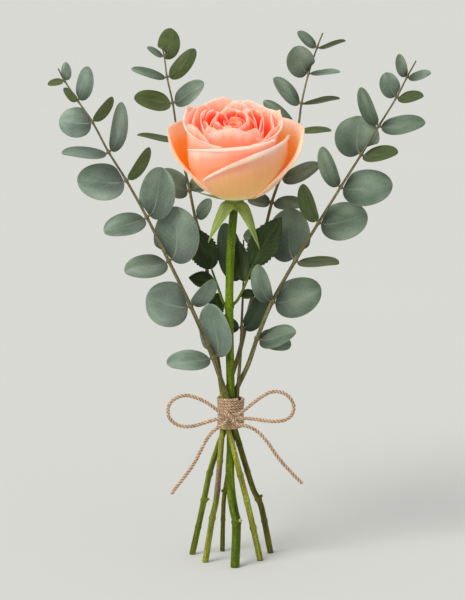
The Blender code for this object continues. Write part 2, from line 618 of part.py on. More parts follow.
# Routes of the free twine, each from the knot outwards.
CORDS = {
    "bow_loop_left": (
        (-9.9, 8.0, 108.8), (-14.6, 7.5, 112.8), (-20.6, 7, 117), (-27.4, 6.4, 120.2),
        (-34, 6, 121.8), (-40, 5.4, 120.6), (-44.8, 4.9, 117.2), (-46.8, 4.5, 112.2),
        (-46.0, 4.2, 106.6), (-42.2, 4, 102.4), (-36.5, 4, 100.2), (-30, 4.5, 100.2),
        (-24, 5.2, 101.6), (-18.6, 6, 103.2), (-14, 6.8, 104.4), (-9.6, 7.6, 105.2)),
    "bow_loop_right": (
        (3.9, 8.0, 108.8), (8.6, 7.5, 112.8), (13.4, 7, 116.8), (18.6, 6.4, 120.8),
        (24.4, 6, 124), (30.6, 5.6, 124.6), (36, 5.2, 122.4), (39.8, 4.8, 118),
        (41, 4.5, 112.8), (39.2, 4.2, 107.8), (34.8, 4, 104.8), (28.8, 4, 103.8),
        (22.4, 4.6, 104), (16.6, 5.4, 104.6), (11, 6.4, 105.2), (5.6, 7.3, 105.2),
        (3.2, 7.8, 105.2)),
    "twine_tail_left": (
        (-7.6, 6.9, 101.0), (-11.2, 6.0, 99.4), (-15.2, 5.0, 96.6), (-18.6, 4.0, 92.8),
        (-21.4, 3.2, 88.2), (-24.0, 2.6, 83.2), (-26.6, 2.2, 78), (-29.6, 1.9, 72.8),
        (-33.2, 1.6, 67.6), (-37, 1.3, 62.6), (-40.8, 1.1, 57.8), (-44.4, 1.0, 52.8)),
    "twine_tail_right": (
        (1.6, 6.9, 100.8), (6.2, 6.0, 100.4), (11.4, 5.0, 99), (16.0, 4.2, 96.2),
        (20.0, 3.4, 92.4), (23.6, 2.8, 87.8), (26.8, 2.4, 83), (30.2, 2.1, 78.2),
        (34.2, 1.8, 73.4), (38.4, 1.5, 68.8), (42.6, 1.2, 64.4), (47, 1.0, 60.2)),
}


def build_cord(name, route):
    curve = bpy.data.curves.new(name, "CURVE")
    curve.dimensions = "3D"
    curve.bevel_depth = TWINE_D / 2 * MM
    curve.bevel_resolution = 2
    curve.use_fill_caps = True
    line = curve.splines.new("POLY")
    line.points.add(len(route) - 1)
    for point, (x, y, z) in zip(line.points, route):
        point.co = (x * MM, y * MM, z * MM, 1.0)
    curve.materials.append(JUTE)
    POSY.objects.link(bpy.data.objects.new(name, curve))


build_rose()
build_sprigs()
build_wrap()
build_knot()
for cord_name, cord_route in CORDS.items():
    build_cord(cord_name, cord_route)
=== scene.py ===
# Looks of the hand-tied posy: a peach garden rose and five eucalyptus sprigs,
# tied with a twisted jute bow and standing on their cut ends.
# Routes and leaf places repeat the frame's own, in millimetres; +Z is up, -Y is
# the front. Every piece is built as closed shells and turned into metres by
# Piece.make().
from math import cos, exp, pi, radians, sin, sqrt

import bpy
import numpy as np
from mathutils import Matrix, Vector, noise


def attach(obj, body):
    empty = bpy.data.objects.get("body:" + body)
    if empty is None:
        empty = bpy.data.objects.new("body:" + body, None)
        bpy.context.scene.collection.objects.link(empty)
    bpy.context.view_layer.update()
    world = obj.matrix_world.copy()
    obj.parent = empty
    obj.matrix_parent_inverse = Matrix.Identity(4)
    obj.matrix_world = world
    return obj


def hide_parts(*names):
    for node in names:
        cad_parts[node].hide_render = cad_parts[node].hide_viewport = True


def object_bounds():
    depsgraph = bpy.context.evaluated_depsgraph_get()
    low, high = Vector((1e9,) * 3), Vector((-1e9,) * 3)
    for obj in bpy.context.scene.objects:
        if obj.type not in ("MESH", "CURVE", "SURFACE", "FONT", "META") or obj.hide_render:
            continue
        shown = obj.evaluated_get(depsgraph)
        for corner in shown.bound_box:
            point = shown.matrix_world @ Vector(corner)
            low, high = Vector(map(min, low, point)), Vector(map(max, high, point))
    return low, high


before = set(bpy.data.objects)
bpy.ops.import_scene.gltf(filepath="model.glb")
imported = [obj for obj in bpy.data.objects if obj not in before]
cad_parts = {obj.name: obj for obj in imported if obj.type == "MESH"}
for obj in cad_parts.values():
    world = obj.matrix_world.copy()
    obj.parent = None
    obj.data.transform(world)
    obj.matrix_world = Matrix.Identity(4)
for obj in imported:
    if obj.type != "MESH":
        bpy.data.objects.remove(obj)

CAD_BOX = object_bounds()
MM = 0.001

# ---------------- driving sizes
GAP = 0.3
TIE = Vector((-3, 22, 106))       # where the six stems cross
TIE_HALF = 11
TWINE_D = 2.6
TURN_D = 2
ROSE_R = 2.9
EUC_R = 1.95
CENTRE_R = 1.5
TIP_R = 0.5
FOOT_GROW = 1.12
SWAY = 2.6
WRAP_IN = ROSE_R + 2 * EUC_R + GAP + 0.45
WRAP_FLARE = 0.7
HEAD_TILT = radians(15)
HEAD_AT = Vector((-0.6, 19.8, 260))   # top of the rose hip
BOWL = 34.5
HIP_R = 6.6
HIP_H = 9
LAYER_STEP = 0.95
AMBIENT = 0.5
KEY = 1.98
CAMERA_AWAY = 2.2                       # metres from the posy's middle
CAMERA_DIP = radians(10)


# ---------------- camera and light
def add(data, name):
    obj = bpy.data.objects.new(name, data)
    bpy.context.scene.collection.objects.link(obj)
    return obj


def set_camera():
    """A long lens, a little above level, aimed at the posy's middle."""
    data = bpy.data.cameras.new("camera")
    data.sensor_fit = "VERTICAL"
    data.sensor_height = 24
    data.lens = 125.714
    cam = add(data, "camera")
    dip = CAMERA_DIP
    target = Vector((-0.001757, 0.024, 0.186303))
    cam.location = target + Vector((0, -cos(dip), sin(dip))) * CAMERA_AWAY
    cam.rotation_euler = (radians(90) - dip, 0, 0)
    bpy.context.scene.camera = cam


def set_light():
    """An even white room and one wide, slightly warm sun from the front left."""
    world = bpy.data.worlds.new("studio")
    world.use_nodes = True
    back = world.node_tree.nodes["Background"]
    back.inputs["Color"].default_value = (1, 1, 1, 1)
    back.inputs["Strength"].default_value = AMBIENT
    bpy.context.scene.world = world
    data = bpy.data.lights.new("key", "SUN")
    data.energy = KEY
    data.angle = radians(36)
    data.color = (1, 0.985, 0.96)
    sun = add(data, "key")
    sun.rotation_euler = Vector((0.6, 0.62, -0.74)).to_track_quat("-Z", "Y").to_euler()
    bpy.context.scene.view_settings.view_transform = "Standard"


# ---------------- closed shells
class Piece:
    """Gathers closed shells, in millimetres, into one object.

    Each point carries "grain", a place on its own surface (across, along, seed),
    and "side", 1 on a blade's upper or inner face and 0 on the other. On twine,
    "side" is the ply's height instead, 1 on a crown and 0 in a groove, for the
    painted shade and highlight of the jute.
    """

    def __init__(self):
        self.points = []
        self.grain = []
        self.side = []
        self.faces = []
        self.slots = []
        self.count = 0

    def add(self, points, faces, grain, side, slot=0):
        self.points.append(np.asarray(points, float))
        self.grain.append(np.asarray(grain, float))
        self.side.append(np.asarray(side, float))
        self.faces += [tuple(int(i) + self.count for i in f) for f in faces]
        self.slots += [slot] * len(faces)
        self.count += len(points)

    def make(self, node, suffix, slot, *materials):
        """Turn the shells into the object that stands for a node of the frame."""
        name = node + "_" + suffix
        mesh = bpy.data.meshes.new(name)
        mesh.from_pydata(np.vstack(self.points) * MM, [], self.faces)
        for mat in materials:
            mesh.materials.append(mat)
        mesh.polygons.foreach_set("material_index", self.slots)
        mesh.polygons.foreach_set("use_smooth", [True] * len(self.faces))
        grain = mesh.attributes.new("grain", "FLOAT_VECTOR", "POINT")
        grain.data.foreach_set("vector", np.vstack(self.grain).ravel())
        side = mesh.attributes.new("side", "FLOAT", "POINT")
        side.data.foreach_set("value", np.concatenate(self.side))
        mesh.update()
        obj = add(mesh, name)
        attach(obj, "root")
        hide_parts(node)
        return obj


def grid_faces(rows, cols, wrap=False, start=0, flip=False):
    faces = []
    for j in range(rows - 1):
        for i in range(cols if wrap else cols - 1):
            a, b = start + j * cols + i, start + j * cols + (i + 1) % cols
            quad = (a, b, b + cols, a + cols)
            faces.append(quad[::-1] if flip else quad)
    return faces


def shell(piece, grid, thick, across, along, seed, slot=0, upper=1):
    """Add a thin closed sheet: grid is (rows, cols, 3), thick is (rows, cols)."""
    rows, cols = grid.shape[:2]
    du = np.gradient(grid, axis=1)
    dv = np.gradient(grid, axis=0)
    n = np.cross(du, dv)
    n /= np.maximum(np.linalg.norm(n, axis=2, keepdims=True), 1e-9)
    half = thick[..., None] / 2
    top, low = (grid + n * half).reshape(-1, 3), (grid - n * half).reshape(-1, 3)
    size = rows * cols
    faces = grid_faces(rows, cols) + grid_faces(rows, cols, start=size, flip=True)
    rim = list(range(cols)) + [j * cols + cols - 1 for j in range(1, rows)]
    rim += [(rows - 1) * cols + i for i in range(cols - 2, -1, -1)]
    rim += [j * cols for j in range(rows - 2, 0, -1)]
    for a, b in zip(rim, rim[1:] + rim[:1]):
        faces.append((b, a, a + size, b + size))
    mark = np.stack([across.ravel(), along.ravel(), np.full(size, seed)], 1)
    piece.add(np.vstack([top, low]), faces, np.vstack([mark, mark]),
              np.concatenate([np.full(size, upper), np.full(size, 1 - upper)]), slot)


def blank(rows, cols):
    """An empty sheet: its points, thickness, place across and place along."""
    across = np.tile(np.linspace(-1, 1, cols), (rows, 1))
    return np.zeros((rows, cols, 3)), np.zeros((rows, cols)), across, np.zeros((rows, cols))


def frames(path):
    """Tangent and two normals at each point of a path, turning as little as can be."""
    tangents = np.gradient(path, axis=0)
    tangents /= np.linalg.norm(tangents, axis=1, keepdims=True)
    first = np.cross(tangents[0], (0, 0, 1))
    if np.linalg.norm(first) < 0.2:
        first = np.cross(tangents[0], (0, 1, 0))
    normals = [first / np.linalg.norm(first)]
    for t in tangents[1:]:
        n = normals[-1] - t * np.dot(normals[-1], t)
        normals.append(n / np.linalg.norm(n))
    normals = np.array(normals)
    return tangents, normals, np.cross(tangents, normals)


def run_of(path):
    """How far along the path each of its points is."""
    steps = np.linalg.norm(np.diff(path, axis=0), axis=1)
    return np.concatenate([[0], np.cumsum(steps)])


def tube(piece, path, radius, sides, seed, slot=0, end_slot=None):
    """Add a closed tube. radius is (rings, sides) or (rings,), in millimetres."""
    path = np.asarray(path, float)
    rings = len(path)
    radius = np.asarray(radius, float)
    if radius.ndim == 1:
        radius = np.repeat(radius[:, None], sides, axis=1)
    _, n, b = frames(path)
    a = np.arange(sides) * 2 * pi / sides
    out = n[:, None, :] * np.cos(a)[None, :, None] + b[:, None, :] * np.sin(a)[None, :, None]
    points = (path[:, None, :] + out * radius[..., None]).reshape(-1, 3)
    run = run_of(path)
    grain = np.stack([np.tile(a / (2 * pi), rings), np.repeat(run, sides),
                      np.full(rings * sides, seed)], 1)
    faces = grid_faces(rings, sides, wrap=True)
    piece.add(points, faces, grain, np.zeros(len(points)), slot)
    start = piece.count - len(points)
    for ring in mesh_ends(rings, sides):
        piece.faces.append(tuple(start + i for i in ring))
        piece.slots.append(slot if end_slot is None else end_slot)


def mesh_ends(rings, sides):
    """The first and the last ring of a tube, each as one face."""
    last = (rings - 1) * sides
    return [tuple(range(sides))[::-1], tuple(range(last, last + sides))]


def smooth_path(points, step):
    """A smooth curve through the points, resampled at even steps."""
    p = np.asarray(points, float)
    p = np.vstack([2 * p[0] - p[1], p, 2 * p[-1] - p[-2]])
    fine = []
    for a, b, c, d in zip(p, p[1:], p[2:], p[3:]):
        for t in np.linspace(0, 1, 24, endpoint=False):
            fine.append(0.5 * (2 * b + (c - a) * t + (2 * a - 5 * b + 4 * c - d) * t * t
                               + (3 * b - a - 3 * c + d) * t ** 3))
    fine.append(p[-2])
    return even(np.array(fine), step)


def even(path, step):
    """The same line with its points at even steps."""
    run = run_of(path)
    at = np.linspace(0, run[-1], max(3, round(run[-1] / step) + 1))
    return np.stack([np.interp(at, run, path[:, k]) for k in range(3)], 1)


def clamp(x):
    return min(max(x, 0), 1)


def wobble(x, y=0, z=0):
    """Smooth noise from -1 to 1."""
    return noise.noise(Vector((x, y, z)))


# ---------------- materials
class Look:
    """One procedural material, built from a few kinds of node."""

    def __init__(self, name, **sockets):
        self.mat = bpy.data.materials.new(name)
        self.mat.use_nodes = True
        self.tree = self.mat.node_tree
        self.surface(**sockets)

    def put(self, value, socket):
        """Link an output to a socket, or set the socket to a plain value."""
        if isinstance(value, bpy.types.NodeSocket):
            self.tree.links.new(value, socket)
        else:
            socket.default_value = value

    def surface(self, **sockets):
        for socket, value in sockets.items():
            self.put(value, self.tree.nodes["Principled BSDF"].inputs[socket.replace("_", " ")])

    def node(self, kind, inputs, out=0, **settings):
        new = self.tree.nodes.new("ShaderNode" + kind)
        for key, value in settings.items():
            setattr(new, key, value)
        for socket, value in inputs.items():
            self.put(value, new.inputs[socket])
        return new.outputs[out]

    def read(self, name, out):
        return self.node("Attribute", {}, out, attribute_name=name)

    def grain(self, axis):
        """Across (0), along (1) or seed (2) of the surface."""
        return self.node("SeparateXYZ", {0: self.read("grain", "Vector")}, axis)

    def side(self):
        return self.read("side", "Fac")

    def sum(self, kind, a, b=0):
        return self.node("Math", {0: a, 1: b}, operation=kind)

    def times(self, a, b):
        return self.sum("MULTIPLY", a, b)

    def noise(self, place, scale, detail, rough):
        return self.node("TexNoise", {"Vector": place, "Scale": scale, "Detail": detail,
                                      "Roughness": rough}, "Fac")

    def cloud(self, x, y, z, detail=3, rough=0.6):
        """Noise over the surface's own across, along and seed, each scaled."""
        parts = {axis: self.times(self.grain(axis), scale)
                 for axis, scale in enumerate((x, y, z))}
        return self.noise(self.node("CombineXYZ", parts), 1, detail, rough)

    def dust(self, scale, detail=3, rough=0.6):
        """Noise that is fixed in the room, at this scale per metre."""
        return self.noise(self.node("TexCoord", {}, "Object"), scale, detail, rough)

    def ramp(self, fac, *stops):
        """Colours, or plain greys, at places from 0 to 1."""
        out = self.node("ValToRGB", {0: fac})
        band = out.node.color_ramp
        while len(band.elements) < len(stops):
            band.elements.new(0.5)
        for element, (at, colour) in zip(band.elements, stops):
            element.position = at
            element.color = (*(colour if isinstance(colour, tuple) else (colour,) * 3), 1)
        return out

    def mix(self, fac, a, b, kind="MIX"):
        """Mix two colours, each an output or three numbers."""
        a, b = ((*c, 1) if isinstance(c, tuple) else c for c in (a, b))
        return self.node("Mix", {0: fac, 6: a, 7: b}, 2, data_type="RGBA", blend_type=kind)

    def shade(self, colour, fac, *stops):
        """Multiply a colour by a ramp."""
        return self.mix(1, colour, self.ramp(fac, *stops), "MULTIPLY")

    def done(self, colour, rough, bump):
        """Colour, roughness as (driver, low, high), bump as (height, strength, metres)."""
        rough = dict(zip(("Value", "To Min", "To Max"), rough))
        bump = dict(zip(("Height", "Strength", "Distance"), bump))
        self.surface(Base_Color=colour, Roughness=self.node("MapRange", rough),
                     Normal=self.node("Bump", bump))
        return self.mat


VEIN_STEP = 0.045               # half the way from one side vein to the next
STREAKS = (0.28, 0.5, 0.74)    # where bark turns from dark to mid to light


def comb(look, slant):
    """How far across the leaf, and a saw of side veins that sweep forward."""
    reach = look.sum("ABSOLUTE", look.grain(0))
    sweep = look.sum("SUBTRACT", look.grain(1), look.times(reach, slant))
    return reach, look.sum("PINGPONG", sweep, VEIN_STEP)


def leaf_look(name, tone):
    """Waxy blue-green above, plain olive green below, with fine pale veins. The
    upper face is painted darker towards the leaf's foot, as shade where it cups in at
    the stem.
    """
    look = Look(name, Sheen_Weight=0.15, Sheen_Roughness=0.4, Specular_IOR_Level=0.3)
    wax = look.cloud(0.9, 1.1, 37, 3, 0.5)
    wax_wear_and_shade = look.ramp(wax, (0.28, (0.12, 0.18, 0.13)), (0.5, (0.22, 0.3, 0.228)),
                     (0.74, (0.37, 0.465, 0.375)))
    wax_wear_and_shade = look.shade(wax_wear_and_shade, look.dust(900, 5, 0.7), (0.32, 0.8), (0.68, 1.16))
    # Painted shade: the upper face darkens towards the leaf's foot, where it cups in at the stem.
    wax_wear_and_shade = look.shade(wax_wear_and_shade, look.grain(1), (0, 0.26), (0.16, 0.46), (0.42, 0.86), (0.75, 1.1),
                      (1, 1.02))
    wax_wear_and_shade = look.shade(wax_wear_and_shade, look.cloud(0, 0, 91, 0), (0.3, 0.8), (0.7, 1.1))
    under = look.ramp(look.cloud(2.5, 3, 53, 4), (0.3, (0.06, 0.095, 0.026)),
                      (0.7, (0.125, 0.17, 0.055)))
    reach, saw = comb(look, 0.34)
    rib = look.ramp(reach, (0, 0.8), (0.025, 0.45), (0.06, 0))
    fade = look.ramp(look.grain(1), (0, 0.8), (0.55, 0.35), (0.9, 0))
    side_vein = look.ramp(saw, (0, 1), (0.0035, 0.5), (0.009, 0))
    veins = look.sum("MAXIMUM", look.times(rib, fade), look.times(side_vein, 0.16))
    wax_wear_and_shade = look.mix(veins, wax_wear_and_shade, (0.4, 0.47, 0.36))
    under = look.mix(veins, under, (0.26, 0.29, 0.13))
    face = look.mix(1, look.mix(look.side(), under, wax_wear_and_shade), tone, "MULTIPLY")
    margin = look.times(look.ramp(reach, (0.95, 0), (0.99, 1)), 0.4)
    face = look.mix(margin, face, (0.3, 0.26, 0.15))
    height = look.sum("ADD", look.times(look.dust(2600, 2), 0.25), look.times(veins, -0.8))
    return look.done(face, (wax, 0.66, 0.46), (height, 0.35, 0.00025))


def bark_look(name, base, steps, rough=0.5):
    """Young wood or green stem: streaks, specks and blotches. Each step is a pair of
    heights, in mm, over which the colours turn into the step's own."""
    look = Look(name, Specular_IOR_Level=0.2)
    streak = look.cloud(9, 0.045, 13, 5, 0.65)
    body = look.ramp(streak, *zip(STREAKS, base))
    for low, high, tones in steps:
        where = look.node("MapRange", {"Value": look.grain(1), "From Min": low, "From Max": high})
        body = look.mix(where, body, look.ramp(streak, *zip(STREAKS, tones)))
    body = look.shade(body, look.cloud(1.5, 0.035, 7, 2), (0.3, 0.72), (0.7, 1.22))
    speck = look.dust(1100, 4, 0.7)
    body = look.shade(body, speck, (0.36, 0.5), (0.64, 1.42))
    height = look.sum("ADD", streak, look.times(speck, 0.6))
    return look.done(body, (streak, rough + 0.1, rough - 0.08), (height, 0.5, 0.0004))


def pith_look():
    """A clean cut across a stem, pale and finely dotted."""
    look = Look("cut_end", Specular_IOR_Level=0.3)
    dots = look.dust(2600)
    colour = look.ramp(dots, (0.35, (0.4, 0.42, 0.16)), (0.65, (0.62, 0.62, 0.34)))
    return look.done(colour, (dots, 0.6, 0.85), (dots, 0.4, 0.0002))


def petal_look(name, outside, inside, glow):
    """Peach petal: colour runs from foot to lip, with fine ribs along it. It gives off
    a little of its own colour: a painted glow that stands in for the light that comes
    through a thin petal and is caught between the petals."""
    look = Look(name, Specular_IOR_Level=0.12, Subsurface_Weight=0.75, Subsurface_Scale=0.004,
                Subsurface_Radius=(1, 0.3, 0.14), Emission_Strength=glow)
    fine = look.cloud(16, 1.6, 29, 4)
    soft = look.cloud(2, 2.2, 17, 2)
    drift = look.times(look.sum("SUBTRACT", soft, 0.5), 0.22)
    along = look.sum("ADD", look.grain(1), drift)
    face = look.mix(look.side(), look.ramp(along, *outside), look.ramp(along, *inside))
    face = look.shade(face, fine, (0.3, 0.965), (0.7, 1.02))
    pale = look.ramp(look.sum("ABSOLUTE", look.grain(0)), (0.92, 0), (1, 0.5))
    face = look.mix(pale, face, (1, 0.52, 0.4))
    # Painted glow: the petal's own colour given off as light.
    look.surface(Emission_Color=face)
    height = look.sum("ADD", fine, look.times(look.dust(3200, 2), 0.3))
    return look.done(face, (soft, 0.45, 0.62), (height, 0.2, 0.0002))


def green_look(name, dark, mid, light, rough, vein):
    """Leafy green with a midrib and forward-swept side veins."""
    look = Look(name, Specular_IOR_Level=0.3)
    blotch = look.cloud(2, 2.5, 41, 4)
    body = look.ramp(blotch, (0.28, dark), (0.52, mid), (0.78, light))
    reach, saw = comb(look, 0.22)
    rib = look.ramp(reach, (0, 1), (0.05, 0.3), (0.1, 0))
    side_vein = look.ramp(saw, (0, 1), (0.01, 0))
    veins = look.sum("MAXIMUM", rib, look.times(side_vein, 0.5))
    body = look.mix(look.times(veins, 0.6), body, vein)
    face = look.mix(look.side(), look.mix(0.5, body, vein), body)
    height = look.sum("ADD", look.times(veins, -1), blotch)
    return look.done(face, (blotch, rough + 0.08, rough - 0.08), (height, 0.5, 0.0004))


def jute_look():
    """Twisted plant fibre: straw, tan and brown threads along each ply, with painted
    shade in the grooves between plies and painted highlight on their crowns.
    """
    look = Look("jute_twine", Sheen_Weight=0.25, Sheen_Roughness=0.6,
                Sheen_Tint=(1, 0.86, 0.68, 1), Specular_IOR_Level=0.15)
    thread = look.cloud(22, 0.9, 11, 4, 0.7)
    body = look.ramp(thread, (0.28, (0.26, 0.135, 0.065)), (0.46, (0.56, 0.37, 0.23)),
                     (0.62, (0.8, 0.6, 0.42)), (0.8, (0.95, 0.82, 0.66)))
    body = look.shade(body, look.cloud(0, 0.12, 5, 2), (0.3, 0.82), (0.7, 1.1))
    body = look.shade(body, look.dust(620, 4, 0.7), (0.34, 0.66), (0.64, 1.36))
    # Painted shade and highlight: dark in the grooves between plies, light on their crowns.
    body = look.shade(body, look.side(), (0, 0.1), (0.45, 0.55), (0.9, 1.15))
    return look.done(body, (thread, 0.95, 0.75), (thread, 0.8, 0.0004))


def floor_look():
    look = Look("paper_floor", Specular_IOR_Level=0.1)
    tone = look.dust(1.3, 2)
    colour = look.ramp(tone, (0, (0.752, 0.762, 0.728)), (1, (0.78, 0.79, 0.756)))
    return look.done(colour, (tone, 0.85, 0.95), (look.dust(900, 2), 0.1, 0.0002))


OUTER_OUT = ((0, (0.96, 0.76, 0.34)), (0.25, (0.96, 0.66, 0.28)), (0.5, (1, 0.5, 0.24)),
             (0.74, (1, 0.3, 0.13)), (0.9, (1, 0.38, 0.25)), (1, (1, 0.66, 0.55)))
# Inside faces and inner petals turn deep red towards the foot: partly the rose's own deeper colour,
# partly painted shade and glow for the light caught between the petals.
OUTER_IN = ((0, (1, 0.04, 0.004)), (0.66, (1, 0.06, 0.01)), (0.82, (1, 0.22, 0.11)),
            (0.92, (1, 0.4, 0.27)), (1, (1, 0.66, 0.55)))
INNER_OUT = ((0, (1, 0.01, 0.001)), (0.78, (1, 0.03, 0.002)), (0.9, (1, 0.17, 0.07)),
             (0.96, (1, 0.26, 0.17)), (1, (1, 0.6, 0.48)))
INNER_IN = ((0, (1, 0.005, 0.001)), (0.85, (1, 0.01, 0.002)), (0.93, (1, 0.08, 0.035)),
            (0.97, (1, 0.24, 0.15)), (1, (1, 0.58, 0.46)))
GUARD_OUT = ((0, (0.96, 0.74, 0.34)), (0.4, (1, 0.58, 0.3)), (0.75, (1, 0.52, 0.32)),
             (0.93, (1, 0.58, 0.43)), (1, (1, 0.66, 0.5)))
GUARD_IN = ((0, (1, 0.2, 0.001)), (0.66, (1, 0.33, 0.008)), (0.8, (1, 0.42, 0.09)),
            (0.89, (1, 0.56, 0.3)), (0.96, (1, 0.66, 0.52)), (1, (1, 0.58, 0.4)))
# FRONT_OUT is darker and tan across its middle: painted shade on the front petal's outside, over its
# own cream-to-coral colour.
FRONT_OUT = ((0, (0.96, 0.86, 0.46)), (0.25, (0.92, 0.74, 0.34)), (0.5, (0.86, 0.53, 0.2)),
             (0.75, (0.88, 0.46, 0.2)), (0.92, (1, 0.52, 0.35)), (1, (1, 0.7, 0.58)))

# Each sprig's leaves take a tone. The darker tones of the right and the centre sprigs are painted
# shade, for the side away from the key light and the leaves behind the rose.
LEAVES = {
    "FL": leaf_look("eucalyptus_leaf_left", (1, 1, 1)),
    "FR": leaf_look("eucalyptus_leaf_right", (0.74, 0.76, 0.7)),
    "BL": leaf_look("eucalyptus_leaf_back_left", (0.86, 0.88, 0.82)),
    "BR": leaf_look("eucalyptus_leaf_back_right", (0.86, 0.88, 0.8)),
    "C": leaf_look("eucalyptus_leaf_centre", (0.26, 0.3, 0.2)),
}
TWIG = ((0.07, 0.062, 0.022), (0.185, 0.165, 0.075), (0.36, 0.33, 0.185))
OLIVE = ((0.04, 0.06, 0.002), (0.125, 0.165, 0.006), (0.34, 0.37, 0.06))
DARK = ((0.032, 0.034, 0.001), (0.105, 0.105, 0.005), (0.25, 0.23, 0.03))
LIME = ((0.085, 0.1, 0.004), (0.25, 0.27, 0.025), (0.54, 0.52, 0.14))
ROSY = ((0.16, 0.095, 0.05), (0.32, 0.215, 0.13), (0.47, 0.38, 0.24))
EUC_WOOD = bark_look("eucalyptus_twig", TWIG, (), 0.55)
WOODS = {
    "FL": bark_look("stem_dark_olive", DARK, ((95, 175, TWIG),), 0.5),
    "FR": bark_look("stem_olive", OLIVE, ((95, 165, TWIG),), 0.5),
    "BL": bark_look("stem_lime", LIME, ((105, 190, TWIG),), 0.5),
    "BR": bark_look("stem_rosy", LIME, ((46, 54, ROSY), (66, 74, LIME), (105, 165, TWIG)), 0.5),
    "C": bark_look("stem_dull_olive", DARK, ((100, 150, TWIG),), 0.5),
}
ROSE_GREEN = bark_look("rose_stem", ((0.034, 0.058, 0.001), (0.085, 0.135, 0.001),
                                     (0.175, 0.245, 0.003)),
                       ((120, 200, ((0.045, 0.08, 0.001), (0.13, 0.21, 0.002),
                                    (0.24, 0.34, 0.008))),), 0.45)
PITH = pith_look()
# The last number of each petal look is the strength of its painted glow.
PEACH = petal_look("petal_outer", OUTER_OUT, OUTER_IN, 0.16)
CORAL = petal_look("petal_inner", INNER_OUT, INNER_IN, 0.3)
GUARD = petal_look("petal_guard", GUARD_OUT, GUARD_IN, 0.12)
FRONT = petal_look("petal_front", FRONT_OUT, OUTER_IN, 0.07)
CALYX = green_look("calyx", (0.14, 0.19, 0.02), (0.27, 0.37, 0.08), (0.42, 0.52, 0.17),
                   0.55, (0.52, 0.6, 0.25))
ROSE_LEAF = green_look("rose_leaf", (0.006, 0.013, 0.001), (0.018, 0.036, 0.003),
                       (0.045, 0.078, 0.01), 0.5, (0.06, 0.105, 0.018))
JUTE = jute_look()


# ---------------- twine
def twine(piece, path, thick, lay, seed, sides=18):
    """Add three-ply twine along a path: three round strands twisted together."""
    run = run_of(path)
    turn = 2 * pi * run / lay
    a = np.arange(sides) * 2 * pi / sides
    around = a[None, :] - turn[:, None]
    ply = around % (2 * pi / 3) - pi / 3
    shape = 0.5 * np.cos(ply) + np.sqrt(np.maximum(0.25 - 0.25 * np.sin(ply) ** 2, 0))
    shape = 0.18 + 0.84 * shape
    lump = np.array([[1 + 0.07 * wobble(s * 0.35, seed, k * 5) for k in range(3)] for s in run])
    which = (around % (2 * pi) // (2 * pi / 3)).astype(int) % 3
    shape = shape * np.take_along_axis(lump, which, axis=1)
    tube(piece, path, shape * thick / 2, sides, seed)
    # side holds the ply's height here, 1 on a crown and 0 in a groove; the jute look paints shade in
    # the grooves and highlight on the crowns from it.
    piece.side[-1] = np.clip((shape.ravel() - 0.58) / 0.42, 0, 1)
    piece.grain[-1][:, 0] = around.ravel() / (2 * pi)


def strands(piece, spots, seed, slim=0.045):
    """Loose fibres: (root, direction, length) each, as curved three-sided hairs."""
    for n, (root, out, length) in enumerate(spots):
        bend = Vector((wobble(n * 1.7, seed), wobble(n * 2.3, seed + 9), wobble(n * 3.1, seed + 21)))
        path = [root + out * (length * t) + bend * (length * 0.6 * t * t)
                for t in (0, 0.35, 0.7, 1)]
        tube(piece, path, [slim, slim * 0.9, slim * 0.7, slim * 0.3], 3, seed)


def fuzz_along(path, radius, count, seed):
    """Roots of fibres scattered along a path, leaning along it."""
    rng = np.random.default_rng(seed)
    tangents, n, b = frames(path)
    found = []
    for _ in range(count):
        i = int(rng.integers(1, len(path) - 1))
        a = rng.uniform(0, 2 * pi)
        out = Vector(n[i] * cos(a) + b[i] * sin(a))
        aim = (out + Vector(tangents[i]) * rng.uniform(-1.2, 1.2)).normalized()
        found.append((Vector(path[i]) + out * (radius * 0.8), aim, rng.uniform(0.6, 1.5)))
    return found


# Routes of the free twine, each from the knot outwards.
CORDS = {
    "bow_loop_left": (
        (-9.9, 8, 108.8), (-14.6, 7.5, 112.8), (-20.6, 7, 117), (-27.4, 6.4, 120.2),
        (-34, 6, 121.8), (-40, 5.4, 120.6), (-44.8, 4.9, 117.2), (-46.8, 4.5, 112.2),
        (-46, 4.2, 106.6), (-42.2, 4, 102.4), (-36.5, 4, 100.2), (-30, 4.5, 100.2),
        (-24, 5.2, 101.6), (-18.6, 6, 103.2), (-14, 6.8, 104.4), (-9.6, 7.6, 105.2)),
    "bow_loop_right": (
        (3.9, 8, 108.8), (8.6, 7.5, 112.8), (13.4, 7, 116.8), (18.6, 6.4, 120.8),
        (24.4, 6, 124), (30.6, 5.6, 124.6), (36, 5.2, 122.4), (39.8, 4.8, 118),
        (41, 4.5, 112.8), (39.2, 4.2, 107.8), (34.8, 4, 104.8), (28.8, 4, 103.8),
        (22.4, 4.6, 104), (16.6, 5.4, 104.6), (11, 6.4, 105.2), (5.6, 7.3, 105.2),
        (3.2, 7.8, 105.2)),
    "twine_tail_left": (
        (-7.6, 6.9, 101), (-11.2, 6, 99.4), (-15.2, 5, 96.6), (-18.6, 4, 92.8),
        (-21.4, 3.2, 88.2), (-24, 2.6, 83.2), (-26.6, 2.2, 78), (-29.6, 1.9, 72.8),
        (-33.2, 1.6, 67.6), (-37, 1.3, 62.6), (-40.8, 1.1, 57.8), (-44.4, 1, 52.8)),
    "twine_tail_right": (
        (1.6, 6.9, 100.8), (6.2, 6, 100.4), (11.4, 5, 99), (16, 4.2, 96.2),
        (20, 3.4, 92.4), (23.6, 2.8, 87.8), (26.8, 2.4, 83), (30.2, 2.1, 78.2),
        (34.2, 1.8, 73.4), (38.4, 1.5, 68.8), (42.6, 1.2, 64.4), (47, 1, 60.2)),
}


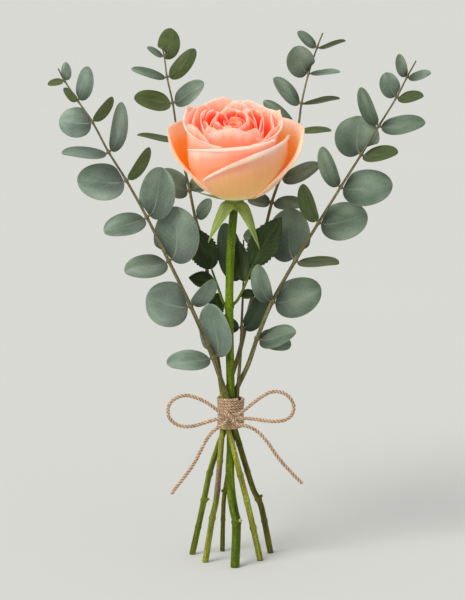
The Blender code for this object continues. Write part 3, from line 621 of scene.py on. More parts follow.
def build_cords():
    for seed, (name, route) in enumerate(CORDS.items()):
        path = smooth_path(route, 0.4)
        piece = Piece()
        twine(piece, path, TWINE_D, 7.2, 3 + seed)
        strands(piece, fuzz_along(path, TWINE_D / 2, 70, 40 + seed), 60 + seed)
        free = name.startswith("twine_tail")
        if free:
            end = Vector(path[-1])
            heading = (end - Vector(path[-4])).normalized()
            rng = np.random.default_rng(80 + seed)
            spray = [(end - heading * 0.6 + Vector(rng.uniform(-0.6, 0.6, 3)),
                      (heading + Vector(rng.uniform(-0.35, 0.35, 3))).normalized(),
                      rng.uniform(0.6, 1.3)) for _ in range(26)]
            strands(piece, spray, 90 + seed, 0.07)
        obj = piece.make(name, "twine", "jute_twine", JUTE)


def build_wrap():
    """One length of twine wound eleven times around the stems."""
    turns = round(2 * TIE_HALF / TURN_D)
    pitch = 2 * TIE_HALF / turns
    path = []
    steps = 120
    for i in range(turns * steps - steps // 2):
        a = 2 * pi * i / steps
        z = -TIE_HALF + pitch * (0.55 + i / steps)
        z += 0.3 * wobble(cos(a) * 1.3, sin(a) * 1.3, i / steps * 0.9)
        r = WRAP_IN - 0.35 + WRAP_FLARE * (z / TIE_HALF) ** 2 + TURN_D / 2
        r += 0.22 * wobble(cos(a) * 2.1 + 7, sin(a) * 2.1, i / steps * 1.1)
        path.append((TIE.x + r * cos(a + 2.2), TIE.y + r * sin(a + 2.2), TIE.z + z))
    path = np.array(path)
    piece = Piece()
    twine(piece, path, TURN_D * 1.16, 6, 1, sides=15)
    strands(piece, fuzz_along(path, TURN_D / 2, 300, 5), 6)
    piece.make("twine_wrap", "turns", "jute_twine", JUTE)


def build_knot():
    """The knot: two strands that cross, a third behind, and the loop that binds them."""
    middle = TIE - Vector((0, WRAP_IN + TURN_D + 3.8, 0))
    cord = {name: [Vector(p) for p in route] for name, route in CORDS.items()}
    left, right = cord["bow_loop_left"], cord["bow_loop_right"]
    tail_l, tail_r = cord["twine_tail_left"][0], cord["twine_tail_right"][0]
    lines = (
        ([left[0]], ((-3.8, -0.6, 1.9), (0.4, -1.3, 0.2), (2.8, -1, -2.6)), [tail_r]),
        ([right[0]], ((3.9, 0.3, 1.9), (0, 1.4, 0.6), (-2.9, 0.4, -2.4)), [tail_l]),
        ([left[-1]], ((-3.4, 1, -1.7), (0.2, 1.7, -1.9), (3, 0.8, -1.5)), [right[-1]]),
        ([], ((-2.6, 2.4, 2.6), (-2.5, 0.2, 3.8), (-1.6, -2.4, 2.3), (0.2, -2.9, 0.1),
              (1.7, -2.3, -2.3), (2.3, 0, -3.7), (2.2, 2.3, -2.4)), []),
    )
    piece = Piece()
    for n, (first, between, last) in enumerate(lines):
        path = smooth_path(first + [middle + Vector(p) for p in between] + last, 0.35)
        twine(piece, path, TWINE_D * (1 if n < 3 else 1.08), 6.6, 20 + n)
        strands(piece, fuzz_along(path, TWINE_D / 2, 16, 30 + n), 33 + n)
    piece.make("bow_knot", "strands", "jute_twine", JUTE)


# ---------------- stems
def hermite(points, z):
    """Point and slope of a stem at height z, smooth through its points."""
    last = len(points) - 2
    i = 0
    while i < last and z > points[i + 1][2]:
        i += 1
    a, b = Vector(points[i]), Vector(points[i + 1])
    before = Vector(points[i - 1]) if i > 0 else a - (b - a)
    after = Vector(points[i + 2]) if i + 2 < len(points) else b + (b - a)
    span = b.z - a.z
    ma = (b - before) * (span / (b.z - before.z))
    mb = (after - a) * (span / (after.z - a.z))
    t = (z - a.z) / span
    h = (2 * t**3 - 3 * t**2 + 1, t**3 - 2 * t**2 + t, -2 * t**3 + 3 * t**2, t**3 - t**2)
    g = (6 * t**2 - 6 * t, 3 * t**2 - 4 * t + 1, -6 * t**2 + 6 * t, 3 * t**2 - 2 * t)
    spot = a * h[0] + ma * h[1] + b * h[2] + mb * h[3]
    slope = a * g[0] + ma * g[1] + b * g[2] + mb * g[3]
    return Vector((spot.x, spot.y, z)), Vector((slope.x, slope.y, span)).normalized()


def tie_points(turn, centre_r, up=SWAY, down=SWAY):
    """Three points that carry a stem through the tie at angle `turn`."""
    a = radians(turn)
    r = ROSE_R + centre_r + GAP
    x, y = TIE.x + r * cos(a), TIE.y + r * sin(a)
    tx, ty = sin(a), -cos(a)
    return [(x - tx * down, y - ty * down, TIE.z - TIE_HALF), (x, y, TIE.z),
            (x + tx * up, y + ty * up, TIE.z + TIE_HALF)]


# Stem routes from cut end to tip. FL and FR lean to the front left and right,
# BL and BR to the back left and right, C is the short one behind the rose.
ROUTES = {
    "rose": [(0, 0, 0), (1, 6.5, 31), (-0.6, 8.8, 38), (-2.6, 12.2, 50), (-3.6, 16, 66),
             (-3, 18.8, 80), (-3, 21.4, 95), (-3, 22, 106), (-3, 22, 117), (-3.6, 22.4, 150),
             (-4, 22.2, 187), (-3, 21.6, 222), (-0.9, 20.8, 249.5)],
    "FL": [(25.5, 40, 0), (19.6, 36, 31), (17.4, 34.4, 39), (13.2, 31.4, 48), (7.4, 24.6, 68),
           (3, 19.8, 84)]
          + tie_points(275, EUC_R)
          + [(-8.8, 16, 128), (-15.5, 16, 147), (-31, 13, 184), (-46, 11, 216), (-61, 9, 247),
             (-75, 7, 273), (-87, 5, 293), (-98, 4, 314), (-108, 3, 329), (-117, 2, 343),
             (-121, 2, 351)],
    "FR": [(-30.5, 36, 0), (-22.4, 34, 38), (-18, 32, 60), (-11.4, 28.8, 82)]
          + tie_points(100, EUC_R)
          + [(3.6, 29.5, 127), (9.5, 28, 140), (15.5, 24, 159), (26, 18, 186), (42, 14, 216),
             (58, 12, 243), (73, 10, 268), (87, 8, 291), (99, 7, 311), (111, 6, 331),
             (118, 5, 345), (124, 5, 356)],
    "BL": [(18, 19, 0), (12.2, 17, 27), (7.4, 15.2, 48), (2.4, 13.6, 68), (-1.8, 13.7, 85)]
          + tie_points(225, EUC_R)
          + [(-11, 24.5, 135), (-16, 35, 170), (-19, 43, 197), (-22, 49, 221),
             (-28, 54, 240), (-32, 57, 259), (-40, 64, 294), (-44, 68, 320), (-48, 71, 338),
             (-50, 73, 353), (-51.6, 72.6, 359)],
    "BR": [(-21, 14, 0), (-16, 17, 31), (-13.2, 18.6, 44), (-10.8, 20.2, 70)]
          + tie_points(160, EUC_R)
          + [(-2.5, 31.5, 130), (3.5, 37, 148), (9, 42, 172), (15, 46, 197), (20, 50, 225),
             (26, 54, 251), (32, 57, 268), (44, 63, 301), (47, 66, 320), (52, 69, 341),
             (58, 72, 359), (62, 73, 369)],
    "C": [(-9, 45, 0), (-8.4, 40.5, 28), (-7.8, 38.4, 40), (-4.8, 33.2, 62), (-2.2, 29.2, 82)]
         + tie_points(40, CENTRE_R, 1.4)
         + [(2.6, 24.2, 130), (4, 29, 150), (5, 34.5, 175), (6, 39, 200), (6, 43, 226)],
}


def stem_at(label, base_r, tip_r, z):
    """Point, slope and radius of a stem at height z."""
    if z <= TIE.z:
        r = base_r * (FOOT_GROW + (1 - FOOT_GROW) * z / TIE.z)
    else:
        top = ROUTES[label][-1][2]
        r = base_r + (tip_r - base_r) * ((z - TIE.z) / (top - TIE.z)) ** 0.8
    return *hermite(ROUTES[label], z), r


def flat(aim, axis):
    """The part of aim that is square to the axis, one unit long."""
    return (aim - axis * aim.dot(axis)).normalized()


def blend(a, b, c, d, t):
    """A point of the cubic from a to d, and the way it heads."""
    s = 1 - t
    spot = a * s**3 + b * (3 * s * s * t) + c * (3 * s * t * t) + d * t**3
    head = (b - a) * (3 * s * s) + (c - b) * (6 * s * t) + (d - c) * (3 * t * t)
    return spot, head.normalized()


def round_leaf(s):
    """Half width of a silver-dollar leaf, 0 to 1, along s from base to tip."""
    s = clamp(s) ** 0.94
    return (4 * s * (1 - s)) ** 0.53


def rose_outline(s):
    s = clamp(s)
    body = (4 * s * (1 - s)) ** 0.62 if s < 0.5 else cos((s - 0.5) * pi) ** 0.9
    teeth = (s * 13) % 1
    return body * (1 - 0.13 * teeth * min(1, 6 * s) * min(1, 6 * (1 - s)))


def sepal_outline(s):
    s = clamp(s)
    return min(1, 0.8 + 1.6 * s) * (1 - s ** 1.5) ** 1.15 + 0.03


def blade(piece, start, out, tip, width, facing, seed, slot=0, outline=round_leaf,
          thick=0.62, cup=0.12, rows=30, cols=15, ripple=0.35, first=0.05, stalk=0.62,
          upper=0):
    """One leaf from its stalk's foot to its tip, cupped and softly rippled."""
    length = (tip - start).length
    aim = (tip - start).normalized()
    b = start + out * (length * 0.25)
    c = tip - aim * (length * 0.35) + facing * (length * 0.06)
    grid, thickness, across, along = blank(rows, cols)
    for j in range(rows):
        s = (1 - cos(pi * j / (rows - 1))) / 2 if outline is round_leaf \
            else j / (rows - 1)
        spot, head = blend(start, b, c, tip, first + (1 - first) * s)
        up = flat(facing, head)
        side = up.cross(head)
        half = max(width / 2 * outline(s), 0.3)
        for i in range(cols):
            x = sin(across[j, i] * pi / 2)
            lift = cup * half * abs(x) ** 1.6
            lift += ripple * wobble(x * 1.1 + seed * 7, s * 2.6, seed * 3) * (0.3 + x * x)
            lift -= 0.16 * exp(-(x * half / 0.7) ** 2) * min(1, 3 * (1 - s))
            point = spot + side * (x * half) + up * lift
            grid[j, i] = point
            rim = 1 - 0.62 * abs(x) ** 6
            thickness[j, i] = thick * rim * (0.55 if j in (0, rows - 1) else 1)
            across[j, i] = x
            along[j, i] = s
    shell(piece, grid, thickness, across, along, seed, slot, upper)
    if stalk:
        line = []
        for t in np.linspace(0, 0.42, 9):
            spot, head = blend(start - out * 0.5, b, c, tip, t)
            line.append(spot - flat(facing, head) * (0.12 + 0.25 * min(1, t * 6)))
        tube(piece, line, [stalk * (1.15 - 1 * n / 9) for n in range(9)], 8, seed, slot + 1)


# Leaf pairs: node height, then two leaves. Each leaf is its tip measured from the
# node (x, y, z), its width, and the direction its upper face looks.
FL_PAIRS = [
    (147, (-2, 6, 37, 23, -0.3, -1, 0.2), (-32, -9, -3, 21, 0, -0.55, 0.85)),
    (184, (-31, 5, 5, 32, -0.2, -0.95, 0.3), (16, -6, 20, 18, 0.6, -0.75, -0.3)),
    (216, (6, 7, 37, 32, -0.1, -1, 0.15), (-30, -12, -6, 22, 0, -0.65, 0.75)),
    (247, (10, 6, 34, 25, 0.1, -1, 0.1), (-29, -12, -9, 21, -0.2, -0.7, 0.7)),
    (273, (-34, 5, 0, 26, 0, -0.95, 0.3), (16, -7, 24, 11, 0.5, -0.8, -0.35)),
    (293, (9, 5, 34, 13, 0.5, -0.85, 0.1), (-32, -6, 0, 18, 0, -0.35, 0.94)),
    (314, (-23, 5, 0, 22, 0, -0.9, 0.4), (14, -6, 18, 10, 0.5, -0.8, -0.35)),
    (329, (7, 3, 23, 12, 0.3, -0.95, 0.1), (-9, -5, 9, 6, -0.4, 0.5, 0.7)),
    (343, (-11, -2, -3, 8, 0, -0.5, 0.85), (1, 3, 12, 7, 0.1, -1, 0)),
]
FR_PAIRS = [
    (159, (27, -10, 6, 19, -0.2, -0.65, 0.75), (24, 10, -6, 18, 0, -0.7, 0.7)),
    (186, (-10, -9, 28, 16, -0.5, -0.85, 0.1), (34, 6, 9, 27, 0.1, -0.95, 0.3)),
    (216, (-4, 11, 35, 30, -0.04, -1, 0.1), (30, -8, -1, 23, 0, -0.2, 1)),
    (243, (-11, -8, 28, 15, -0.6, -0.8, 0), (34, 6, 4, 27, 0.1, -0.9, 0.4)),
    (268, (-13, -7, 29, 15, -0.6, -0.8, 0), (36, 5, 1, 26, 0.1, -0.9, 0.4)),
    (291, (-2, 6, 26, 31, 0, -1, 0.2), (25, -6, 2, 19, 0, -0.45, 0.9)),
    (311, (-13, -5, 27, 12, -0.5, -0.85, 0), (32, 4, 2, 17, 0, -0.65, 0.76)),
    (331, (-8, 5, 16, 14, 0, -1, 0.2), (18, -5, 1, 14, 0, -0.5, 0.87)),
    (345, (-6, -4, 16, 8, -0.3, -0.95, 0), (16, -3, 3, 9, 0, -0.6, 0.8)),
]
BL_PAIRS = [
    (240, (-20, -4, 4, 13, 0, -0.5, 0.86), (11, -5, 14, 10, -0.4, -0.9, 0.1)),
    (259, (-21, -6, 14, 18, 0.1, -0.9, 0.4), (14, 12, 9, 14, 0.2, -0.5, 0.85)),
    (294, (-29, -4, 4, 10, 0, -0.35, 0.94), (16, 12, 9, 14, 0.1, -0.4, 0.9)),
    (320, (-27, -6, 4, 17, 0, -0.75, 0.66), (22, -5, 15, 15, -0.4, -0.85, 0.4)),
    (338, (20, 5, 19, 12, 0.3, 0.8, 0.2), (-25, -5, 6, 11, 0, -0.5, 0.86)),
    (353, (5, 12, 18, 16, 0, 0.9, 0.45), (-12, -4, 6, 6, 0, -0.7, 0.7)),
]
BR_PAIRS = [
    (225, (-14, -3, 3, 14, 0, -0.8, 0.6), (14, 10, 6, 12, 0.1, -0.4, 0.9)),
    (251, (-17, -4, 2, 13, 0, -0.7, 0.7), (23, -5, -1, 16, 0, -0.5, 0.86)),
    (268, (28, -4, 10, 13, -0.2, -0.8, 0.5), (-13, 8, 12, 12, 0.3, -0.5, 0.8)),
    (301, (-24, -3, 21, 15, 0.5, -0.7, 0.6), (24, -2, 0, 12, 0, -0.3, 0.95)),
    (320, (-20, -5, 18, 14, 0.5, -0.75, 0.5), (27, 2, 3, 14, 0, 0.4, 0.9)),
    (341, (-10, -5, 19, 20, 0, -1, 0.1), (22, -3, 1, 10, 0, -0.3, 0.95)),
    (359, (-14, -3, 11, 9, 0.2, -0.8, 0.6), (20, 3, 4, 11, 0, 0.4, 0.9)),
]
C_PAIRS = [
    (165, (19, -2, 30, 15, 0.3, -0.9, 0.1), (-26, -4, 9, 12, 0, -0.95, 0.3)),
    (200, (9, 1, 24, 11, 0.2, -0.95, 0.1), (-14, 2, 38, 18, 0.1, -0.95, 0.1)),
]
# Each sprig: name, route, radius at the tie, leaf pairs, how many of them are pieces
# of their own, swollen nodes (height, swell), and stubs of twigs (height, direction,
# length, radius).
SPRIGS = (
    ("front_left", "FL", EUC_R, FL_PAIRS, 7, ((24, 0.3), (41, 0.7), (63, 0.25), (84, 0.2)),
     ((42, (4.6, -0.8, 1.6), 3.4, 1.15),)),
    ("front_right", "FR", EUC_R, FR_PAIRS, 7, ((60, 0.55), (40, 0.6), (20, 0.3)),
     ((40, (4, -0.8, 0.6), 3, 1.05),)),
    ("back_left", "BL", EUC_R, BL_PAIRS, 4, ((63, 0.5), (24, 0.55), (44, 0.2)), ()),
    ("back_right", "BR", EUC_R, BR_PAIRS, 5, ((72, 0.45), (31, 0.55), (52, 0.2)), ()),
    ("centre", "C", CENTRE_R, C_PAIRS, 2, ((46, 0.5), (24, 0.25), (68, 0.2)),
     ((45, (-3.6, -1.6, 1.6), 2.6, 0.95),)),
)


# Leaves whose plain green side faces the front, as (sprig, node height, leaf).
GREEN_SIDE = {("FL", 343, 0), ("FL", 314, 1), ("FL", 273, 1), ("BL", 320, 0),
              ("BL", 294, 0), ("BR", 301, 1), ("FR", 331, 1), ("FR", 291, 1), ("FR", 216, 1),
              ("BL", 240, 0), ("FR", 243, 0)}


def leaf_pair(piece, label, base_r, z, leaves, seed, slot=0):
    """Two facing leaves that grow from the stem at height z."""
    spot, axis, r = stem_at(label, base_r, TIP_R, z)
    for n, (dx, dy, dz, width, nx, ny, nz) in enumerate(leaves):
        aim = Vector((dx, dy, dz))
        out = flat(aim, axis)
        small = min(1, width / 14)
        blade(piece, spot + out * (r * 0.9), out, spot + aim, width,
              Vector((nx, ny, nz)).normalized(), seed + 0.37 * n, slot,
              ripple=0.1 + 0.016 * width, stalk=0.34 + 0.34 * small,
              upper=1 if (label, z, n) in GREEN_SIDE else 0)


def stem_piece(name, label, base_r, tip_r, suffix, looks, slot, knots, stubs, pairs=(),
               sides=18):
    """A stem with swollen nodes, stubs of trimmed twigs and a flat cut end."""
    top = ROUTES[label][-1][2]
    seed = sum(ord(ch) for ch in name) % 17 + 0.5
    heights = list(np.arange(0.25, top, 1.1)) + [top]
    path, radius = [], []
    for z in [0] + heights:
        spot, _, r = stem_at(label, base_r, tip_r, z)
        if z == 0:
            spot.z = 0
        path.append(spot)
        for at, swell in knots:
            r += swell * exp(-((z - at) / 1.3) ** 2)
        r *= 1 + 0.035 * wobble(z * 0.06, seed)
        row = [r * (1 + 0.03 * wobble(z * 0.05, 3 * cos(2 * pi * i / sides) + seed,
                                      3 * sin(2 * pi * i / sides)))
               for i in range(sides)]
        radius.append([0.93 * v for v in row] if z == 0 else row)
    piece = Piece()
    tube(piece, path, radius, sides, seed, 0, 1)
    piece.points[-1][:sides, 2] = 0
    for z, aim, length, thick in stubs:
        spot, axis, r = stem_at(label, base_r, tip_r, z)
        aim = Vector(aim).normalized()
        line = [spot + aim * (r * 0.3 + length * t) + axis * (0.6 * t) for t in np.linspace(0, 1, 7)]
        girth = [thick * g for g in (1.3, 1.15, 1, 0.94, 0.92, 0.9, 0.78)]
        tube(piece, line, girth, 10, seed + z, 0, 1)
    for n, (z, *leaves) in enumerate(pairs):
        leaf_pair(piece, label, base_r, z, leaves, seed + n, 2)
    piece.make(name, suffix, slot, *looks)


def build_sprigs():
    for label, route, base_r, pairs, loose, swellings, stubs in SPRIGS:
        knots = [*swellings, *((z, 0.45) for z, *_ in pairs)]
        stem_piece("eucalyptus_stem_" + label, route, base_r, TIP_R, "wood",
                   [WOODS[route], PITH, LEAVES[route], EUC_WOOD], "eucalyptus_stem", knots, stubs,
                   pairs[loose:])
        for i, (z, *leaves) in enumerate(pairs[:loose]):
            piece = Piece()
            leaf_pair(piece, route, base_r, z, leaves, len(label) * 1.7 + i * 0.61 + z * 0.013)
            spot, axis, r = stem_at(route, base_r, TIP_R, z)
            line = [spot + axis * h for h in np.linspace(-1.3, 1.3, 9)]
            girth = [r + 0.05 + 0.62 * cos(h) for h in np.linspace(-1.4, 1.4, 9)]
            tube(piece, line, girth, 14, i, 1)
            name = "leaf_pair_%s_%d" % (label, i + 1)
            piece.make(name, "blades", "eucalyptus_leaf", LEAVES[route], EUC_WOOD)


# ---------------- rose
def head(r, a, h):
    """A point of the bloom from radius, angle and height above the hip."""
    x, y = r * cos(a), r * sin(a)
    c, s = cos(HEAD_TILT), sin(HEAD_TILT)
    return Vector((HEAD_AT.x + x, HEAD_AT.y + y * c - h * s, HEAD_AT.z + y * s + h * c))


# Petals from the outside in, each as name, bowl and lip. The bowl: centre angle (270 is
# the front), half width in degrees, radius, height, flare at the rim, how far the whole
# petal opens, how far the rim drops at its near and far ends, how sharply, and where it
# is highest. The lip: roll radius, roll angle in degrees, where across the petal the
# roll is fattest, height of the small point on the rim and where it sits, and how much
# the rim waves.
PETALS = (
    ("guard_right", (356, 60, 39.2, 49.5, 1, 8.5, 44, 5, 1, 0.05), (6, 62, -0.2, 1.6, 0.05, 0.7)),
    ("front_low", (296, 66, 37.2, 48, 0.8, 0, 26.6, 5, 3, 0.8), (2, 200, -0.15, 0, 0, 0.25)),
    ("guard_left", (181, 60, 35.6, 48.5, 1, 9.5, 4, 42, 1, -0.05), (5, 58, 0.2, 1.6, 0.02, 0.7)),
    ("front_high", (262, 62, 34, 51.5, 1, 0, 11.5, 0, 2.6, 1), (1.45, 185, 0.2, 0, 0, 0.3)),
    ("left_tall", (184, 72, 32.4, 60.5, 4, 0, 5, 10, 0.6, -0.4), (3, 72, 0.2, 1.8, -0.38, 0.8)),
    ("right_tall", (6, 74, 30.8, 58.5, 3.6, 0, 7.5, 5, 0.7, 0.2), (3.4, 80, 0.2, 2.2, 0.2, 0.9)),
    ("back_left", (112, 62, 29.2, 61.5, 2.4, 0, 12, 12, 1.6, 0), (1.8, 62, 0, 1.8, -0.15, 1)),
    ("back_right", (62, 60, 27.4, 60.5, 1.8, 0, 10, 12, 1.6, 0), (1.8, 62, 0.2, 1.4, 0.15, 1)),
    ("inner_front", (264, 62, 25.4, 60, -1, 0, 15, 15, 2, 0), (0.9, 60, 0, 1, 0.1, 0.6)),
    ("inner_left", (170, 66, 23, 60, 0.6, 0, 8, 12, 1.5, -0.2), (1.3, 70, 0, 1.6, 0.2, 0.8)),
    ("inner_right", (28, 66, 20.4, 59.5, 0.2, 0, 12, 8, 1.5, 0.2), (1.3, 70, 0, 1.6, -0.2, 0.8)),
    ("inner_back", (100, 68, 17.6, 59, -0.4, 0, 9, 9, 1.5, 0), (1.1, 70, 0, 1.4, 0.1, 0.8)),
    ("heart_left", (215, 76, 14.4, 58, -0.8, 0, 8, 8, 1.5, 0), (0.9, 70, 0, 1.4, 0, 0.7)),
    ("heart_right", (335, 80, 11.2, 58, -1, 0, 7, 7, 1.5, 0), (0.9, 70, 0, 1.4, 0, 0.7)),
)
OUTER_PETALS = 9                # the rest are deep coral inner ones
# Small petals that stand just inside a large one, as turn, step inwards and drop.
TWINS = {
    "left_tall": ((26, 1.3, 1.2), (-34, 1, 2.6)),
    "right_tall": ((24, 1.2, 2.6), (-30, 1.2, 1.4)),
    "back_left": ((30, 0.9, 0.8), (-28, 0.9, 1.6)),
    "back_right": ((22, 1, 1.4), (-32, 1, 1)),
    "inner_front": ((36, 1.2, 1.6), (-34, 1.2, 1)),
    "inner_left": ((34, 1.3, 0.6), (-30, 1.2, 1.6)),
    "inner_right": ((32, 1.4, 1.4), (-34, 1.4, 0.8)),
    "inner_back": ((30, 1.6, 0.8), (-32, 1.6, 1.4)),
    "heart_left": ((34, 1.6, 0.6), (-34, 1.6, 1.2)),
    "heart_right": ((34, 1.5, 0.8), (-36, 1.5, 0.4)),
}


def petal_point(k, u, v, spec):
    """A point of petal k: u runs across it from -1 to 1, v from foot to rim."""
    az, half, radius, height, flare, opening, near, far, power, crest = spec
    foot = 0.7 + LAYER_STEP * k
    if u <= crest:
        drop = near * ((crest - u) / (1 + crest)) ** power
    else:
        drop = far * ((u - crest) / (1 - crest)) ** power
    bowl = pi / 2 * sqrt((radius ** 2 + BOWL ** 2) / 2)
    full = bowl + height - BOWL
    run = max(v * full - drop * max(0, (v - 0.25) / 0.75), 0)
    wide = 0.45 + 0.55 * sin(min(run / (0.9 * bowl), 1) * pi / 2)
    a = radians(az + half * wide * u)
    if run < bowl:
        q = run / bowl * pi / 2
        r = 2.7 + (radius - 2.7) * sin(q)
        h = foot + (BOWL - foot) * (1 - cos(q))
    else:
        q = (run - bowl) / (height - BOWL)
        r = radius + flare * q * q
        h = BOWL + run - bowl
    open_up = clamp((run / full - 0.5) / 0.45)
    r += opening * open_up ** 2 * (3 - 2 * open_up)
    return head(r, a, h)


def sheet(piece, k, spec, lip, rows=50, cols=61, lip_rows=12, thin=1):
    """One petal: its bowl, then a lip that curls outwards and ends on the rim."""
    roll, angle, fat_at, peak, peak_at, wave = lip
    grid, thick, across, along = blank(rows, cols)
    body_rows = rows - lip_rows
    eps = 0.004
    turn = radians(angle)
    for i in range(cols):
        u = across[0, i]
        far = petal_point(k, u, 1, spec)
        near = petal_point(k, u, 0.96, spec)
        per = (far - near).length / 0.04
        curl = roll * (0.35 + 0.65 * exp(-((u - fat_at) / 0.62) ** 2))
        reach = curl * (1 - cos(turn))
        climb = curl * sin(min(turn, pi / 2))
        rise = peak * exp(-(abs(u - peak_at) / 0.1) ** 1.2)
        rise += wave * wobble(u * 3.2, k * 1.7) * (1 - 0.5 * abs(u))
        end = 1 - (climb - rise) / per
        for j in range(body_rows):
            v = end * j / (body_rows - 1)
            p = petal_point(k, u, v, spec)
            right = petal_point(k, u + eps, v, spec) - petal_point(k, u - eps, v, spec)
            up = petal_point(k, u, v + eps, spec) - petal_point(k, u, v - eps, spec)
            n = right.cross(up).normalized()
            swell = wave * (0.8 * wobble(u * 2.1 + 3, v * 1.6, k * 2.9)
                            + 0.3 * wobble(u * 7 + 1, v * 2.5, k * 1.3)) * v * v
            p = p + n * (swell - 0.8 * reach * (v / end) ** 4)
            grid[j, i] = p
            along[j, i] = v
            thick[j, i] = 0.55 * thin
        t = up.normalized()
        sharp = exp(-(abs(u - peak_at) / 0.16) ** 2) * min(1, peak / 2)
        for j in range(lip_rows):
            q = turn * (1 - 0.25 * sharp) * (j + 1) / lip_rows
            offset = t * (curl * sin(q)) + n * (curl * (1 - cos(q)))
            grid[body_rows + j, i] = p + offset
            along[body_rows + j, i] = end + (1 - end) * (j + 1) / lip_rows
            thick[body_rows + j, i] = 0.55 * thin
    thick[:, 0] = thick[:, -1] = 0.25
    thick[-1, :] = 0.25
    thick[-2, :] = 0.4 * thin
    shell(piece, grid, thick, across, along, k + 0.5, 0, 0)


def petal(k, name, spec, lip):
    piece = Piece()
    sheet(piece, k, spec, lip)
    az, half, radius, height, flare, *_ = spec
    for n, (turn, step, fall) in enumerate(TWINS.get(name, ())):
        small = (az + turn, half * 0.5, radius - step, height - fall, flare * 0.5, 0, 15, 15,
                 2.3, 0)
        sheet(piece, k + 0.31 * (n + 1), small, (1.1, 60, 0, 1.3, 0.25 - 0.5 * n, 0.8),
              rows=36, cols=35, lip_rows=8, thin=0.7)
    outer = k < OUTER_PETALS
    looks = {"guard_right": GUARD, "guard_left": GUARD, "front_low": FRONT}
    look = looks.get(name, PEACH if outer else CORAL)
    piece.make("petal_" + name, "shell", "petal_outer" if outer else "petal_inner", look)


# Furled petals of the heart: turns, first and last radius, height, start in radians.
FURLS = ((2.6, 1.4, 7.4, 55, 0.6), (0.55, 8, 8.6, 57, 2.4), (0.5, 8.6, 8.2, 56, 5.2))


def build_heart():
    """The furled middle: one long petal rolled up, and two small ones around it."""
    piece = Piece()
    rows, cols = 34, 120
    for n, (turns, r0, r1, top, start) in enumerate(FURLS):
        grid, thick, across, along = blank(rows, cols)
        for i in range(cols):
            f = i / (cols - 1)
            a = start + 2 * pi * turns * f
            r = r0 + (r1 - r0) * f
            edge = top - 1.5 * (1 - f) + 0.6 * sin(a) \
                - 6 * max(0, (abs(2 * f - 1) - 0.86) / 0.14) ** 2
            for j in range(rows):
                v = j / (rows - 1)
                h = 3 + (edge - 3) * v
                spread = min(1, 0.18 + 1.15 * sin(min(v * 1.25, 1) * pi / 2))
                lean = -1.6 * max(0, v - 0.75) / 0.25
                lip = 0.9 * max(0, (v - 0.95) / 0.05) ** 2
                grid[j, i] = head(max(0.5, (r + lean) * spread + lip), a, h)
                along[j, i] = 0.965 * v
        thick[:] = 0.45
        thick[-1, :] = 0.22
        shell(piece, grid, thick, across, along, 30.5 + n, 0, 0)
    piece.make("petal_heart", "furled", "petal_inner", CORAL)


# Sepals: start angle, tip measured from the hip's top (x, y, z), width.
SEPALS = (
    (236, (-18, -8.5, -31), 12),
    (308, (17.5, -13, -35), 12),
    (354, (20.5, -5, 2), 9),
    (92, (3, 22, 2), 8),
    (184, (-26.5, -1.5, 4), 11),
)


def sepal(index, turn, tip, width):
    a = radians(turn)
    out = head(1, a, 0) - head(0, a, 0)
    side = Vector((-sin(a), cos(a), 0))
    up = out.cross(side).normalized()
    side = up.cross(out)
    base = head(HIP_R - 0.2, a, -2)
    aim = Vector(tip) - (base - HEAD_AT)
    facing = (aim.normalized().cross(side)).normalized()
    if facing.dot(out) < 0:
        facing = -facing
    piece = Piece()
    lean = (out + aim.normalized() * 0.8).normalized()
    blade(piece, base, lean, HEAD_AT + Vector(tip), width, facing, index + 0.3, 0,
          sepal_outline, thick=0.6, cup=-0.22, rows=36, cols=11, ripple=0.35, first=0, stalk=0)
    piece.make("sepal_%d" % index, "blade", "calyx", CALYX)


def build_hip():
    """The rose hip under the bloom, closed up to the petals by its rim."""
    outline = [(ROSE_R, -HIP_H - 1.5), (ROSE_R * 1.1, -HIP_H), (HIP_R * 0.72, -HIP_H + 1.6),
               (HIP_R * 0.94, -HIP_H + 4), (HIP_R, -HIP_H / 2 + 1), (HIP_R * 0.96, -1.6),
               (HIP_R * 1.02, -0.4), (HIP_R * 1.35, 0.6), (HIP_R * 1.25, 1.3), (1, 1.5)]
    sides = 40
    points, grain = [], []
    fine = smooth_path([(r, 0, h) for r, h in outline], 0.7)
    for j, (r, _, h) in enumerate(fine):
        for i in range(sides):
            a = 2 * pi * i / sides
            rib = 1 + 0.025 * cos(5 * a + 0.4) + 0.02 * wobble(a * 2, h * 0.4)
            points.append(head(r * rib, a, h))
            grain.append((sin(2.5 * a), j / len(fine), 4))
    rows = len(fine)
    faces = grid_faces(rows, sides, wrap=True)
    faces += mesh_ends(rows, sides)
    piece = Piece()
    piece.add(points, faces, grain, np.ones(len(points)))
    piece.make("rose_hip", "cup", "calyx", CALYX)


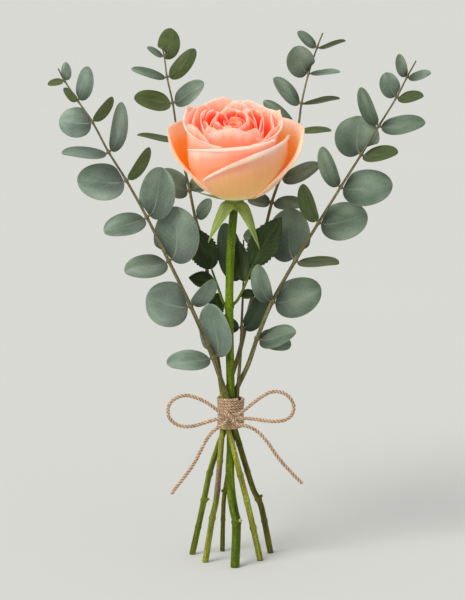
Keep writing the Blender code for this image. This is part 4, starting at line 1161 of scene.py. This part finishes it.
# Rose leaves: petiole route, then leaflets as (petiole point, tip, width, facing).
ROSE_LEAVES = (
    ("left", ((-8.3, 22.2, 185), (-10.5, 25.2, 191), (-13.5, 29, 199), (-16, 31, 206)),
     (-29, 28, 237), 21, (-0.1, -1, 0.3),
     ((1, (-4, 1, -22, 12, 0.2, -0.95, 0.1)), (2, (-19, 1, 2, 14, 0.1, -0.8, 0.6)))),
    ("right", ((0.4, 22.2, 185), (3.6, 21.6, 190), (8, 20.4, 200), (11.6, 18.6, 210)),
     (32, 10, 247), 22, (-0.15, -0.95, 0.2),
     ((1, (12, 5, 1, 9, 0, -0.7, 0.7)), (2, (-6, 16, 27, 13, 0.1, -0.95, 0.1)))),
)


def rose_leaf(label, route, tip, width, facing, sides):
    piece = Piece()
    pts = [Vector(p) for p in route]
    foot = hermite(ROUTES["rose"], pts[0].z - 3)[0]
    line = smooth_path([foot] + pts, 0.8)
    tube(piece, line, [1.15 - 0.45 * i / len(line) for i in range(len(line))], 10, 2, 1)
    seed = len(label) + 0.25
    ends = [(pts[-1], (pts[-1] - pts[-2]).normalized(), Vector(tip), width, Vector(facing))]
    for i, (dx, dy, dz, w, nx, ny, nz) in sides:
        aim = Vector((dx, dy, dz))
        axis = (pts[i + 1] - pts[i - 1]).normalized()
        ends.append((pts[i], flat(aim, axis), pts[i] + aim, w, Vector((nx, ny, nz))))
    for n, (start, out, end, w, face) in enumerate(ends):
        blade(piece, start, out, end, w, face.normalized(), seed + n * 0.7, 0, rose_outline,
              thick=0.45, cup=0.2, rows=105, cols=15, ripple=0.6, stalk=0.55)
    piece.make("rose_leaf_" + label, "blades", "rose_leaf", ROSE_LEAF, ROSE_GREEN)


def build_rose():
    knots = [(31, 0.55), (182, 0.8), (118, 0.15)]
    stem_piece("rose_stem", "rose", ROSE_R, ROSE_R, "green", [ROSE_GREEN, PITH], "rose_stem",
               knots, [(31, (3.6, -4, 1.4), 3.6, 1.9)], sides=24)
    build_hip()
    for i, (turn, tip, width) in enumerate(SEPALS):
        sepal(i + 1, turn, tip, width)
    for k, spec in enumerate(PETALS):
        petal(k, *spec)
    build_heart()
    for label, route, tip, width, facing, sides in ROSE_LEAVES:
        rose_leaf(label, route, tip, width, facing, sides)


# ---------------- stage
def build_floor():
    mesh = bpy.data.meshes.new("floor")
    far = 20
    mesh.from_pydata([(-far, -far, 0), (far, -far, 0), (far, far, 0), (-far, far, 0)], [],
                     [(0, 1, 2, 3)])
    mesh.materials.append(floor_look())
    floor = add(mesh, "floor")
    floor.location.z = CAD_BOX[0][2] - 0.0002


set_camera()
build_cords()
build_wrap()
build_knot()
build_rose()
build_sprigs()
build_floor()
set_light()
